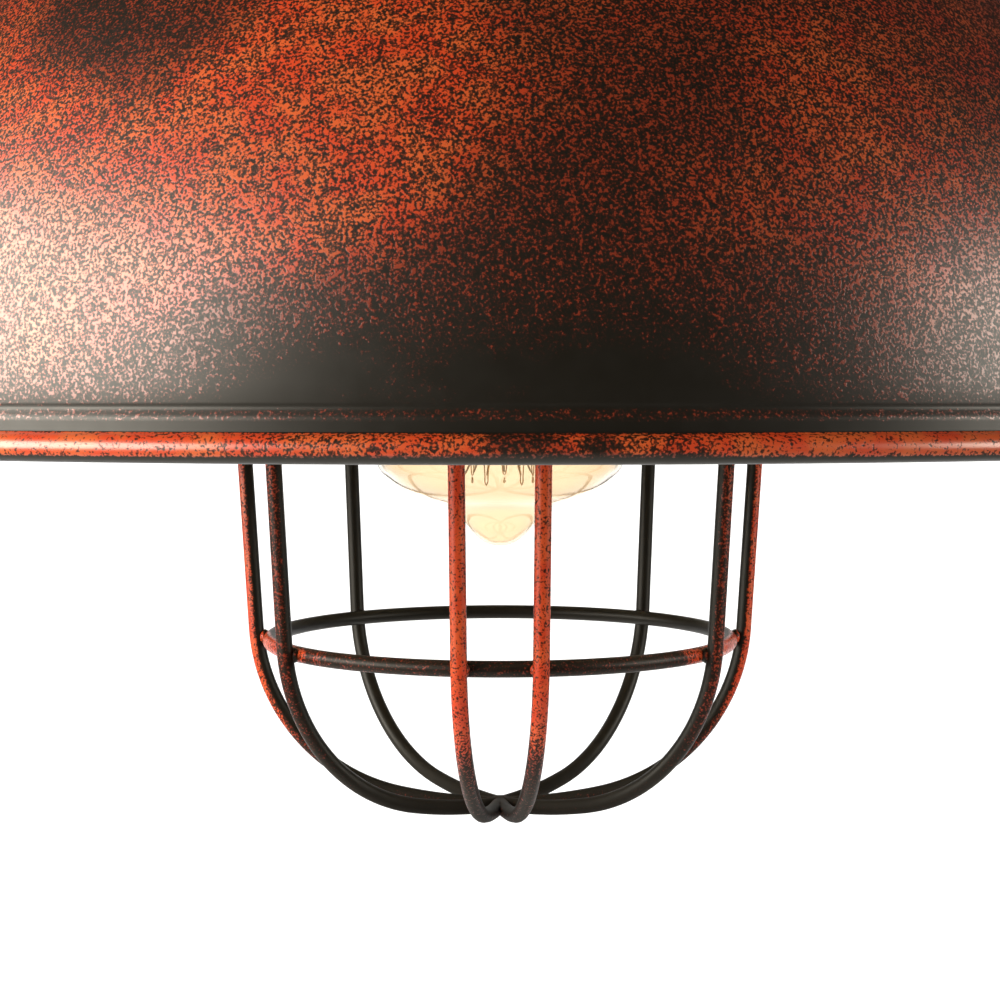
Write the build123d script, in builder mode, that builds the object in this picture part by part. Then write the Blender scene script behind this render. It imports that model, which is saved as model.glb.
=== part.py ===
from build123d import *
import math
import os

# A pendant ceiling light: a spun steel barn shade under a socket cup, with a wire guard
# round a long-filament lamp. All sizes are in millimetres and +Z is up. The origin is on the
# axis at the mouth of the cord gland, so everything hangs below it. Heights are first given
# above the lowest point of the shade's rim, and level() turns them into Z.

GLAND_MOUTH = 215.0

# Shade: sheet steel spun over a form, its edge rolled round a wire.
SHEET = 1.0
DOME_RADIUS = 172.6
DOME_RISE = 140.0
DOME_FOOT = 9.9
CROWN_RADIUS = 46.0
GROOVE_DEPTH = 0.7
BAND_RADIUS = 173.4
BAND_TOP = 7.2
RIDGE_PROUD = 0.5
BEAD_RADIUS = 2.45
BEAD_CENTRE = 172.9
RIM_WIRE_RADIUS = 1.45
WIRE_PLAY = 0.02

# Nipple: the M10 x 1 tube that carries the lampholder and clamps the stack together.
NIPPLE_RADIUS = 5.0
NIPPLE_BORE = 3.9
NIPPLE_BOTTOM = 130.5
NIPPLE_TOP = 199.0
NIPPLE_CLEARANCE = 0.02
NIPPLE_HOLE = 5.2
NUT_FLATS = 17.0
NUT_HEIGHT = 4.0
WASHER_RADIUS = 10.0
WASHER_HEIGHT = 1.0

# Socket cup above the crown.
CUP_SHEET = 1.2
CUP_RADIUS = 31.0
CUP_FLANGE = 37.0
CUP_TOP = 193.5
CUP_CORNER = 7.5

# Cord gland on top of the cup.
CORD_HOLE = 3.4
CORD_HOLE_LENGTH = 3.5
GLAND_FLATS = 14.0
GLAND_BODY_HEIGHT = 6.0
GLAND_SPIGOT_RADIUS = 6.2
GLAND_SPIGOT_TOP = 206.0
GLAND_NUT_FLATS = 16.0
GLAND_NUT_BOTTOM = 200.5
GLAND_NUT_SHOULDER = 208.0
GLAND_NUT_BORE = 6.25
COLLET_RADIUS = 5.6
COLLET_BORE = 3.4
COLLET_FINGERS = 6
COLLET_SLOT = 0.6
COLLET_SLOT_DEPTH = 2.8
COLLET_SLOT_HEIGHT = 2.5

# Gallery under the crown, which holds the guard.
GALLERY_SHEET = 1.4
GALLERY_RADIUS = 45.0
GALLERY_BOTTOM = 121.0
BOSS_RADIUS = 4.5
BOSS_FACE = 47.6

# Thumbscrews: M4, one at each of three bosses, each with a swivelling pad on its nose.
THUMBSCREW_ANGLES = (90, 210, 330)
THUMBSCREW_LEVEL = 131.0
THREAD_RADIUS = 2.0
THREAD_HOLE = 2.05
PAD_RADIUS = 3.0
PAD_FACE = 40.6
PAD_BACK = 42.2
NOSE_RADIUS = 1.2
NOSE_TIP = 41.3
NOSE_HOLE = 1.25
NOSE_HOLE_END = 41.2
STUD_SHOULDER = 42.25
STUD_END = 60.0
KNOB_INNER = 50.5
KNOB_OUTER = 58.5
KNOB_RADIUS = 6.0
KNOB_FLUTES = 18
FLUTE_RADIUS = 0.45

# Guard: a collar, eight bent wires that meet at a pole under the lamp, and one hoop.
GUARD_WIRE = 3.8
COLLAR_RADIUS = 40.5
COLLAR_SHEET = 1.2
COLLAR_BOTTOM = 119.0
COLLAR_TOP = 141.5
RIB_TOP = 139.0
RIB_NECK_BOTTOM = 113.0
RIB_SHOULDER_LEVEL = 22.0
RIB_WALL_END = -46.5
RIB_WALL_RADIUS = 61.3
RIB_WALL_TILT = 3.45
RIB_BEND = 60.0
BOWL_SIDE_RADIUS = 45.5
BOWL_TURN = 78.0
RIB_ANGLES = (8.5, 54.7, 90.6, 139.9, -139.9, -90.6, -54.7, -8.5)
HOOP_LEVEL = -48.65
WELD_GAP = 0.05

# Lampholder: porcelain body, steel cap, screw shell and contacts.
HOLDER_RADIUS = 20.0
HOLDER_BOTTOM = 86.0
PORCELAIN_TOP = 122.0
CAVITY_RADIUS = 14.0
CAVITY_TOP = 117.0
HUB_SHEET = 1.2
HUB_TOP = 131.2
HUB_BOSS_RADIUS = 8.0
HUB_BOSS_TOP = 137.0
SHELL_OUTER = 13.8
SHELL_INNER = 13.4
SHELL_BOTTOM = 90.0
SHELL_FLOOR = 116.5
SHELL_FLOOR_HOLE = 10.5
RIVET_RADIUS = 1.0
RIVET_HEAD = 0.6
CONTACT_RIVET_PLACE = (0, -8)
SHELL_RIVET_PLACE = (8.6, 8.6)
BODY_SCREW_SPACING = 34.0
BODY_SCREW_RADIUS = 1.5
BODY_SCREW_HOLE = 1.52
BODY_SCREW_TIP = 108.0
BODY_SCREW_HEAD_RADIUS = 2.6
BODY_SCREW_HEAD = 1.8
TERMINAL_REACH = 11.0
TERMINAL_SCREW_RADIUS = 1.5
TERMINAL_LENGTH = 21.0
TERMINAL_WIDTH = 8.0
TERMINAL_SHEET = 0.8
TERMINAL_HEAD_RADIUS = 2.8
TERMINAL_HEAD = 2.0
SCREW_SLOT = 0.7
SLOT_DEPTH = 0.8
TERMINAL_SCREW_TIP = 118.6
SPRING_SHEET = 0.45
SPRING_WIDTH = 6.0
SPRING_CONTACT = 115.06

# Lamp: 64 mm envelope, 27 mm screw cap.
CAP_BOTTOM = 88.0
CAP_SHOULDER = 107.5
CAP_TOP = 109.5
CAP_RADIUS = 13.1
CAP_SHEET = 0.4
INSULATOR_TOP = 113.2
CONTACT_RADIUS = 4.6
CONTACT_TOP = 115.0
GLASS = 0.8
GLASS_NECK_TOP = 92.0
ENVELOPE = (
    (12.6, 92.0),
    (12.7, 86.0),
    (15.0, 72.0),
    (20.0, 55.0),
    (26.3, 38.0),
    (30.7, 22.0),
    (32.0, 7.0),
    (30.9, -4.5),
    (27.6, -9.0),
    (22.0, -12.9),
    (15.0, -15.7),
    (10.3, -18.9),
    (7.2, -22.2),
    (3.6, -24.9),
    (0.0, -25.7),
)
STEM_FLARE = 11.6
STEM_RADIUS = 2.2
STEM_TIP = 6.0
FILAMENT_HOOKS = 13
FILAMENT_RADIUS = 9.4
FILAMENT_TOP = 62.0
FILAMENT_BOTTOM = -9.6
FILAMENT_WIRE = 0.2
SUPPORT_WIRE = 0.25
LEAD_WIRE = 0.4
SUPPORT_GAP = 1.0


def level(height):
    """Z of a height above the rim."""
    return height - GLAND_MOUTH


def around(angle, radius, height):
    """Point at an angle from the front, anticlockwise seen from below, as X, Y, Z."""
    turn = math.radians(angle)
    return (-radius * math.sin(turn), -radius * math.cos(turn), level(height))


def on_circle(angle, radius, height):
    """Point at an angle from +X, as X, Y, Z."""
    turn = math.radians(angle)
    return (radius * math.cos(turn), radius * math.sin(turn), level(height))


def crown_level(radius, across, rise):
    """Height at which an ellipse from the dome's foot reaches a radius."""
    return DOME_FOOT + rise * math.sqrt(1 - (radius / across) ** 2)


os.makedirs("parts", exist_ok=True)

crown_top = crown_level(CROWN_RADIUS, DOME_RADIUS, DOME_RISE)
crown_bottom = crown_top - SHEET
inner_across = DOME_RADIUS - SHEET
inner_rise = DOME_RISE - SHEET
inner_crown_radius = inner_across * math.sqrt(1 - ((crown_bottom - DOME_FOOT) / inner_rise) ** 2)
groove_bottom = DOME_FOOT - 2 * GROOVE_DEPTH
groove_middle = DOME_FOOT - GROOVE_DEPTH
bead_join = BEAD_RADIUS + math.sqrt(BEAD_RADIUS**2 - (SHEET / 2) ** 2)

# Shade: crown, dome, crease, band and rolled bead in one skin.
with BuildPart() as shade:
    with BuildSketch(Plane.XZ):
        with BuildLine():
            Line((NIPPLE_HOLE, level(crown_top)), (CROWN_RADIUS, level(crown_top)))
            EllipticalCenterArc(
                (0, level(DOME_FOOT)),
                DOME_RADIUS,
                DOME_RISE,
                start_angle=0,
                arc_size=math.degrees(math.acos(CROWN_RADIUS / DOME_RADIUS)),
            )
            ThreePointArc(
                (DOME_RADIUS, level(DOME_FOOT)),
                (DOME_RADIUS - GROOVE_DEPTH, level(groove_middle)),
                (DOME_RADIUS, level(groove_bottom)),
            )
            ThreePointArc(
                (DOME_RADIUS, level(groove_bottom)),
                (BAND_RADIUS + RIDGE_PROUD, level((groove_bottom + BAND_TOP) / 2)),
                (BAND_RADIUS, level(BAND_TOP)),
            )
            Line((BAND_RADIUS, level(BAND_TOP)), (BAND_RADIUS, level(bead_join)))
            ThreePointArc(
                (BAND_RADIUS, level(bead_join)),
                (BEAD_CENTRE, level(0)),
                (BAND_RADIUS - SHEET, level(bead_join)),
            )
            Line((BAND_RADIUS - SHEET, level(bead_join)), (BAND_RADIUS - SHEET, level(BAND_TOP)))
            Line((BAND_RADIUS - SHEET, level(BAND_TOP)), (inner_across, level(groove_bottom)))
            ThreePointArc(
                (inner_across, level(groove_bottom)),
                (inner_across - GROOVE_DEPTH, level(groove_middle)),
                (inner_across, level(DOME_FOOT)),
            )
            EllipticalCenterArc(
                (0, level(DOME_FOOT)),
                inner_across,
                inner_rise,
                start_angle=0,
                arc_size=math.degrees(math.acos(inner_crown_radius / inner_across)),
            )
            Line((inner_crown_radius, level(crown_bottom)), (NIPPLE_HOLE, level(crown_bottom)))
            Line((NIPPLE_HOLE, level(crown_bottom)), (NIPPLE_HOLE, level(crown_top)))
        make_face()
        with Locations((BEAD_CENTRE, level(BEAD_RADIUS))):
            Circle(RIM_WIRE_RADIUS, mode=Mode.SUBTRACT)
    revolve(axis=Axis.Z)
shade.part.label = "shade"
export_step(shade.part, "parts/shade.step")

with BuildPart() as rim_wire:
    with BuildSketch(Plane.XZ):
        with Locations((BEAD_CENTRE, level(BEAD_RADIUS))):
            Circle(RIM_WIRE_RADIUS - WIRE_PLAY)
    revolve(axis=Axis.Z)
rim_wire.part.label = "rim_wire"
export_step(rim_wire.part, "parts/rim_wire.step")

# Socket cup: a drawn cap whose foot flange stands on the crown.
with BuildPart() as socket_cup:
    with BuildSketch(Plane.XZ):
        with BuildLine():
            Polyline(
                (CUP_RADIUS - CUP_CORNER, level(CUP_TOP)),
                (NIPPLE_HOLE, level(CUP_TOP)),
                (NIPPLE_HOLE, level(CUP_TOP - CUP_SHEET)),
                (CUP_RADIUS - CUP_CORNER, level(CUP_TOP - CUP_SHEET)),
            )
            RadiusArc(
                (CUP_RADIUS - CUP_CORNER, level(CUP_TOP - CUP_SHEET)),
                (CUP_RADIUS - CUP_SHEET, level(CUP_TOP - CUP_CORNER)),
                CUP_CORNER - CUP_SHEET,
            )
            Polyline(
                (CUP_RADIUS - CUP_SHEET, level(CUP_TOP - CUP_CORNER)),
                (CUP_RADIUS - CUP_SHEET, level(crown_top)),
                (CUP_FLANGE, level(crown_top)),
                (CUP_FLANGE, level(crown_top + CUP_SHEET)),
                (CUP_RADIUS, level(crown_top + CUP_SHEET)),
                (CUP_RADIUS, level(CUP_TOP - CUP_CORNER)),
            )
            RadiusArc(
                (CUP_RADIUS - CUP_CORNER, level(CUP_TOP)),
                (CUP_RADIUS, level(CUP_TOP - CUP_CORNER)),
                CUP_CORNER,
            )
        make_face()
    revolve(axis=Axis.Z)
socket_cup.part.label = "socket_cup"
export_step(socket_cup.part, "parts/socket_cup.step")

# Nipple tube, and the washers and nuts that clamp the crown between the cup and the gallery.
gallery_top = crown_bottom - GALLERY_SHEET
with BuildPart() as nipple_tube:
    with BuildSketch(Plane.XY.offset(level(NIPPLE_BOTTOM))):
        Circle(NIPPLE_RADIUS)
        Circle(NIPPLE_BORE, mode=Mode.SUBTRACT)
    extrude(amount=NIPPLE_TOP - NIPPLE_BOTTOM)
    chamfer(nipple_tube.edges().filter_by(GeomType.CIRCLE).group_by(SortBy.RADIUS)[-1], length=0.4)
nipple_tube.part.label = "nipple_tube"
export_step(nipple_tube.part, "parts/nipple_tube.step")

nut_bottoms = {
    "crown_nut": crown_top + WASHER_HEIGHT,
    "gallery_nut": gallery_top - WASHER_HEIGHT - NUT_HEIGHT,
}
for nut_name, nut_bottom in nut_bottoms.items():
    with BuildPart() as clamp_nut:
        with BuildSketch(Plane.XY.offset(level(nut_bottom))):
            RegularPolygon(NUT_FLATS / 2, side_count=6, major_radius=False)
            Circle(NIPPLE_RADIUS + NIPPLE_CLEARANCE, mode=Mode.SUBTRACT)
        extrude(amount=NUT_HEIGHT)
    clamp_nut.part.label = nut_name
    export_step(clamp_nut.part, f"parts/{nut_name}.step")

washer_bottoms = {
    "crown_washer": crown_top,
    "gallery_washer": gallery_top - WASHER_HEIGHT,
}
for washer_name, washer_bottom in washer_bottoms.items():
    with BuildPart() as clamp_washer:
        with BuildSketch(Plane.XY.offset(level(washer_bottom))):
            Circle(WASHER_RADIUS)
            Circle(NIPPLE_HOLE, mode=Mode.SUBTRACT)
        extrude(amount=WASHER_HEIGHT)
    clamp_washer.part.label = washer_name
    export_step(clamp_washer.part, f"parts/{washer_name}.step")

# Cord gland: a hex body screwed down on the nipple, a nylon collet and a domed nut.
with BuildPart() as gland_body:
    with BuildSketch(Plane.XY.offset(level(CUP_TOP))):
        RegularPolygon(GLAND_FLATS / 2, side_count=6, major_radius=False)
    extrude(amount=GLAND_BODY_HEIGHT)
    with BuildSketch(Plane.XY.offset(level(CUP_TOP + GLAND_BODY_HEIGHT))):
        Circle(GLAND_SPIGOT_RADIUS)
    extrude(amount=GLAND_SPIGOT_TOP - CUP_TOP - GLAND_BODY_HEIGHT)
    with BuildSketch(Plane.XY.offset(level(CUP_TOP))):
        Circle(NIPPLE_RADIUS + NIPPLE_CLEARANCE)
    extrude(amount=NIPPLE_TOP - CUP_TOP, mode=Mode.SUBTRACT)
    with BuildSketch(Plane.XY.offset(level(NIPPLE_TOP))):
        Circle(NIPPLE_BORE)
    extrude(amount=GLAND_SPIGOT_TOP - NIPPLE_TOP, mode=Mode.SUBTRACT)
gland_body.part.label = "gland_body"
export_step(gland_body.part, "parts/gland_body.step")

collet_top = GLAND_MOUTH - CORD_HOLE_LENGTH
with BuildPart() as gland_collet:
    with BuildSketch(Plane.XY.offset(level(GLAND_SPIGOT_TOP))):
        Circle(COLLET_RADIUS)
        Circle(COLLET_BORE, mode=Mode.SUBTRACT)
    extrude(amount=collet_top - GLAND_SPIGOT_TOP)
    with BuildSketch(Plane.XY.offset(level(GLAND_SPIGOT_TOP))):
        with PolarLocations(COLLET_RADIUS, COLLET_FINGERS):
            Rectangle(COLLET_SLOT_DEPTH, COLLET_SLOT)
    extrude(amount=COLLET_SLOT_HEIGHT, mode=Mode.SUBTRACT)
gland_collet.part.label = "gland_collet"
export_step(gland_collet.part, "parts/gland_collet.step")

with BuildPart() as gland_nut:
    with BuildSketch(Plane.XY.offset(level(GLAND_NUT_BOTTOM))):
        RegularPolygon(GLAND_NUT_FLATS / 2, side_count=6, major_radius=False)
    extrude(amount=GLAND_NUT_SHOULDER - GLAND_NUT_BOTTOM)
    with BuildSketch(Plane.XY.offset(level(GLAND_NUT_SHOULDER))):
        Circle(GLAND_NUT_FLATS / 2)
    extrude(amount=GLAND_MOUTH - GLAND_NUT_SHOULDER)
    fillet(gland_nut.faces().sort_by(Axis.Z)[-1].edges(), radius=3.4)
    with BuildSketch(Plane.XY.offset(level(GLAND_NUT_BOTTOM))):
        Circle(GLAND_NUT_BORE)
    extrude(amount=collet_top - GLAND_NUT_BOTTOM, mode=Mode.SUBTRACT)
    with BuildSketch(Plane.XY.offset(level(collet_top))):
        Circle(CORD_HOLE)
    extrude(amount=CORD_HOLE_LENGTH, mode=Mode.SUBTRACT)
gland_nut.part.label = "gland_nut"
export_step(gland_nut.part, "parts/gland_nut.step")

# Gallery: a spun ring under the crown, with a boss for each thumbscrew.
with BuildPart() as gallery:
    with BuildSketch(Plane.XZ):
        with BuildLine():
            Polyline(
                (NIPPLE_HOLE, level(crown_bottom)),
                (GALLERY_RADIUS, level(crown_bottom)),
                (GALLERY_RADIUS, level(GALLERY_BOTTOM)),
                (GALLERY_RADIUS - GALLERY_SHEET, level(GALLERY_BOTTOM)),
                (GALLERY_RADIUS - GALLERY_SHEET, level(gallery_top)),
                (NIPPLE_HOLE, level(gallery_top)),
                close=True,
            )
        make_face()
    revolve(axis=Axis.Z)
    for angle in THUMBSCREW_ANGLES:
        start = on_circle(angle, GALLERY_RADIUS - GALLERY_SHEET / 2, THUMBSCREW_LEVEL)
        outward = on_circle(angle, 1, GLAND_MOUTH)
        with BuildSketch(Plane(origin=start, z_dir=outward)):
            Circle(BOSS_RADIUS)
        extrude(amount=BOSS_FACE - GALLERY_RADIUS + GALLERY_SHEET / 2)
        with BuildSketch(Plane(origin=on_circle(angle, COLLAR_RADIUS, THUMBSCREW_LEVEL), z_dir=outward)):
            Circle(THREAD_HOLE)
        extrude(amount=BOSS_FACE - COLLAR_RADIUS, mode=Mode.SUBTRACT)
gallery.part.label = "gallery"
export_step(gallery.part, "parts/gallery.step")

# Thumbscrews: a stud with a fluted head pressed on, and a pad that swivels on its nose.
for number, angle in enumerate(THUMBSCREW_ANGLES, start=1):
    outward = on_circle(angle, 1, GLAND_MOUTH)

    with BuildPart() as pad:
        with BuildSketch(Plane(origin=on_circle(angle, PAD_FACE, THUMBSCREW_LEVEL), z_dir=outward)):
            Circle(PAD_RADIUS)
        extrude(amount=PAD_BACK - PAD_FACE)
        with BuildSketch(Plane(origin=on_circle(angle, NOSE_HOLE_END, THUMBSCREW_LEVEL), z_dir=outward)):
            Circle(NOSE_HOLE)
        extrude(amount=PAD_BACK - NOSE_HOLE_END, mode=Mode.SUBTRACT)
    pad.part.label = f"thumbscrew_pad_{number}"
    export_step(pad.part, f"parts/thumbscrew_pad_{number}.step")

    with BuildPart() as stud:
        with BuildSketch(Plane(origin=on_circle(angle, NOSE_TIP, THUMBSCREW_LEVEL), z_dir=outward)):
            Circle(NOSE_RADIUS)
        extrude(amount=STUD_SHOULDER - NOSE_TIP)
        with BuildSketch(Plane(origin=on_circle(angle, STUD_SHOULDER, THUMBSCREW_LEVEL), z_dir=outward)):
            Circle(THREAD_RADIUS)
        extrude(amount=STUD_END - STUD_SHOULDER)
    stud.part.label = f"thumbscrew_stud_{number}"
    export_step(stud.part, f"parts/thumbscrew_stud_{number}.step")

    with BuildPart() as knob:
        with BuildSketch(Plane(origin=on_circle(angle, KNOB_INNER, THUMBSCREW_LEVEL), z_dir=outward)):
            Circle(KNOB_RADIUS)
            with PolarLocations(KNOB_RADIUS, KNOB_FLUTES):
                Circle(FLUTE_RADIUS, mode=Mode.SUBTRACT)
            Circle(THREAD_RADIUS + NIPPLE_CLEARANCE, mode=Mode.SUBTRACT)
        extrude(amount=KNOB_OUTER - KNOB_INNER)
    knob.part.label = f"thumbscrew_knob_{number}"
    export_step(knob.part, f"parts/thumbscrew_knob_{number}.step")

# Guard collar: a plain steel band that slides up inside the gallery.
with BuildPart() as guard_collar:
    with BuildSketch(Plane.XY.offset(level(COLLAR_BOTTOM))):
        Circle(COLLAR_RADIUS)
        Circle(COLLAR_RADIUS - COLLAR_SHEET, mode=Mode.SUBTRACT)
    extrude(amount=COLLAR_TOP - COLLAR_BOTTOM)
guard_collar.part.label = "guard_collar"
export_step(guard_collar.part, "parts/guard_collar.step")

# Guard wires. Each drops from the collar, flares out, falls with a slight lean inwards, and
# turns under the lamp on two arcs: a tight one at the side and a wide one across the pole.
# At the pole each wire is cut to its own wedge, so that all eight meet face to face.
tilt = math.radians(RIB_WALL_TILT)
turn_out = math.radians(BOWL_TURN)
neck_radius = COLLAR_RADIUS - COLLAR_SHEET - GUARD_WIRE / 2 - WELD_GAP
shoulder_radius = RIB_WALL_RADIUS + (RIB_SHOULDER_LEVEL - RIB_WALL_END) * math.tan(tilt)
side_centre_radius = RIB_WALL_RADIUS - BOWL_SIDE_RADIUS * math.cos(tilt)
side_centre_level = RIB_WALL_END + BOWL_SIDE_RADIUS * math.sin(tilt)
floor_radius = BOWL_SIDE_RADIUS + side_centre_radius / math.cos(turn_out)
pole_level = side_centre_level + side_centre_radius * math.tan(turn_out) - floor_radius


def bowl(turn, radius=BOWL_SIDE_RADIUS):
    """Point of the tight arc, as radius and height, at a turn below the horizontal."""
    return (
        side_centre_radius + radius * math.cos(turn),
        side_centre_level - radius * math.sin(turn),
    )


def flat_point(point):
    """Radius and height as a point on a wire's own upright plane."""
    return (point[0], level(point[1]))


for number, angle in enumerate(RIB_ANGLES, start=1):
    before = RIB_ANGLES[number - 2]
    after = RIB_ANGLES[number % len(RIB_ANGLES)]
    wedge_from = angle - ((angle - before) % 360) / 2
    wedge_to = angle + ((after - angle) % 360) / 2
    rib_plane = Plane(
        origin=(0, 0, 0),
        x_dir=around(angle, 1, GLAND_MOUTH),
        z_dir=around(angle + 90, 1, GLAND_MOUTH),
    )
    with BuildPart() as guard_rib:
        with BuildLine(rib_plane) as rib_line:
            FilletPolyline(
                flat_point((neck_radius, RIB_TOP)),
                flat_point((neck_radius, RIB_NECK_BOTTOM)),
                flat_point((shoulder_radius, RIB_SHOULDER_LEVEL)),
                flat_point((RIB_WALL_RADIUS, RIB_WALL_END)),
                radius=RIB_BEND,
            )
            ThreePointArc(
                flat_point((RIB_WALL_RADIUS, RIB_WALL_END)),
                flat_point(bowl((tilt + turn_out) / 2)),
                flat_point(bowl(turn_out)),
            )
            half_floor = (turn_out + math.pi / 2) / 2
            ThreePointArc(
                flat_point(bowl(turn_out)),
                flat_point(
                    (
                        floor_radius * math.cos(half_floor),
                        pole_level + floor_radius * (1 - math.sin(half_floor)),
                    )
                ),
                flat_point((0, pole_level)),
            )
        with BuildSketch(Plane(origin=around(angle, neck_radius, RIB_TOP), z_dir=(0, 0, -1))):
            Circle(GUARD_WIRE / 2)
        sweep(path=rib_line.wires()[0])
        with BuildSketch(Plane.XY.offset(level(pole_level - GUARD_WIRE))):
            with BuildLine():
                Polyline(
                    (0, 0),
                    around(wedge_from, GLAND_MOUTH, GLAND_MOUTH)[:2],
                    around(wedge_to, GLAND_MOUTH, GLAND_MOUTH)[:2],
                    close=True,
                )
            make_face()
        extrude(amount=RIB_TOP - pole_level + 2 * GUARD_WIRE, mode=Mode.INTERSECT)
    guard_rib.part.label = f"guard_rib_{number}"
    export_step(guard_rib.part, f"parts/guard_rib_{number}.step")

# Guard hoop: a ring of the same wire, welded inside the wires.
hoop_reach = BOWL_SIDE_RADIUS - GUARD_WIRE - WELD_GAP
hoop_turn = math.asin((side_centre_level - HOOP_LEVEL) / hoop_reach)
hoop_radius = bowl(hoop_turn, hoop_reach)[0]
with BuildPart() as guard_hoop:
    with BuildSketch(Plane.XZ):
        with Locations((hoop_radius, level(HOOP_LEVEL))):
            Circle(GUARD_WIRE / 2)
    revolve(axis=Axis.Z)
guard_hoop.part.label = "guard_hoop"
export_step(guard_hoop.part, "parts/guard_hoop.step")

# Lampholder body: glazed porcelain, open below for the lamp cap.
with BuildPart() as porcelain_body:
    with BuildSketch(Plane.XY.offset(level(HOLDER_BOTTOM))):
        Circle(HOLDER_RADIUS)
    extrude(amount=PORCELAIN_TOP - HOLDER_BOTTOM)
    fillet(porcelain_body.faces().sort_by(Axis.Z)[0].edges(), radius=2.0)
    with BuildSketch(Plane.XY.offset(level(HOLDER_BOTTOM))):
        Circle(CAVITY_RADIUS)
    extrude(amount=CAVITY_TOP - HOLDER_BOTTOM, mode=Mode.SUBTRACT)
    with BuildSketch(Plane.XY.offset(level(BODY_SCREW_TIP))):
        with GridLocations(BODY_SCREW_SPACING, 0, 2, 1):
            Circle(BODY_SCREW_HOLE)
    extrude(amount=PORCELAIN_TOP - BODY_SCREW_TIP, mode=Mode.SUBTRACT)
    with BuildSketch(Plane.XY.offset(level(TERMINAL_SCREW_TIP))):
        with GridLocations(0, 2 * TERMINAL_REACH, 1, 2):
            Circle(TERMINAL_SCREW_RADIUS + NIPPLE_CLEARANCE)
    extrude(amount=PORCELAIN_TOP - TERMINAL_SCREW_TIP, mode=Mode.SUBTRACT)
    with BuildSketch(Plane.XY.offset(level(CAVITY_TOP))):
        with Locations(CONTACT_RIVET_PLACE, SHELL_RIVET_PLACE):
            Circle(RIVET_RADIUS + NIPPLE_CLEARANCE)
    extrude(amount=PORCELAIN_TOP - CAVITY_TOP, mode=Mode.SUBTRACT)
porcelain_body.part.label = "porcelain_body"
export_step(porcelain_body.part, "parts/porcelain_body.step")

# Lampholder cap: a steel bell with a tapped boss for the nipple.
with BuildPart() as holder_cap:
    with BuildSketch(Plane.XZ):
        with BuildLine():
            Polyline(
                (NIPPLE_RADIUS + NIPPLE_CLEARANCE, level(HUB_TOP - HUB_SHEET)),
                (HOLDER_RADIUS - HUB_SHEET, level(HUB_TOP - HUB_SHEET)),
                (HOLDER_RADIUS - HUB_SHEET, level(PORCELAIN_TOP)),
                (HOLDER_RADIUS, level(PORCELAIN_TOP)),
                (HOLDER_RADIUS, level(HUB_TOP)),
                (HUB_BOSS_RADIUS, level(HUB_TOP)),
                (HUB_BOSS_RADIUS, level(HUB_BOSS_TOP)),
                (NIPPLE_RADIUS + NIPPLE_CLEARANCE, level(HUB_BOSS_TOP)),
                close=True,
            )
        make_face()
    revolve(axis=Axis.Z)
    with BuildSketch(Plane.XY.offset(level(HUB_TOP - HUB_SHEET))):
        with GridLocations(BODY_SCREW_SPACING, 0, 2, 1):
            Circle(BODY_SCREW_HOLE)
    extrude(amount=HUB_SHEET, mode=Mode.SUBTRACT)
holder_cap.part.label = "holder_cap"
export_step(holder_cap.part, "parts/holder_cap.step")

# Two long screws hold the cap down on the porcelain.
with BuildPart() as body_screws:
    with BuildSketch(Plane.XY.offset(level(BODY_SCREW_TIP))):
        with GridLocations(BODY_SCREW_SPACING, 0, 2, 1):
            Circle(BODY_SCREW_RADIUS)
    extrude(amount=HUB_TOP - BODY_SCREW_TIP)
    with BuildSketch(Plane.XY.offset(level(HUB_TOP))):
        with GridLocations(BODY_SCREW_SPACING, 0, 2, 1):
            Circle(BODY_SCREW_HEAD_RADIUS)
    extrude(amount=BODY_SCREW_HEAD)
    with BuildSketch(Plane.XY.offset(level(HUB_TOP + BODY_SCREW_HEAD - SLOT_DEPTH))):
        with GridLocations(BODY_SCREW_SPACING, 0, 2, 1):
            Rectangle(SCREW_SLOT, 2 * BODY_SCREW_HEAD_RADIUS)
    extrude(amount=SLOT_DEPTH, mode=Mode.SUBTRACT)
body_screws.part.label = "body_screws"
export_step(body_screws.part, "parts/body_screws.step")

# Screw shell: thin brass, with an inward floor riveted to the porcelain.
with BuildPart() as screw_shell:
    with BuildSketch(Plane.XZ):
        with BuildLine():
            Polyline(
                (SHELL_INNER, level(SHELL_BOTTOM)),
                (SHELL_OUTER, level(SHELL_BOTTOM)),
                (SHELL_OUTER, level(CAVITY_TOP)),
                (SHELL_FLOOR_HOLE, level(CAVITY_TOP)),
                (SHELL_FLOOR_HOLE, level(SHELL_FLOOR)),
                (SHELL_INNER, level(SHELL_FLOOR)),
                close=True,
            )
        make_face()
    revolve(axis=Axis.Z)
    with BuildSketch(Plane.XY.offset(level(SHELL_FLOOR))):
        with Locations(SHELL_RIVET_PLACE):
            Circle(RIVET_RADIUS + NIPPLE_CLEARANCE)
    extrude(amount=CAVITY_TOP - SHELL_FLOOR, mode=Mode.SUBTRACT)
screw_shell.part.label = "screw_shell"
export_step(screw_shell.part, "parts/screw_shell.step")

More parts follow.
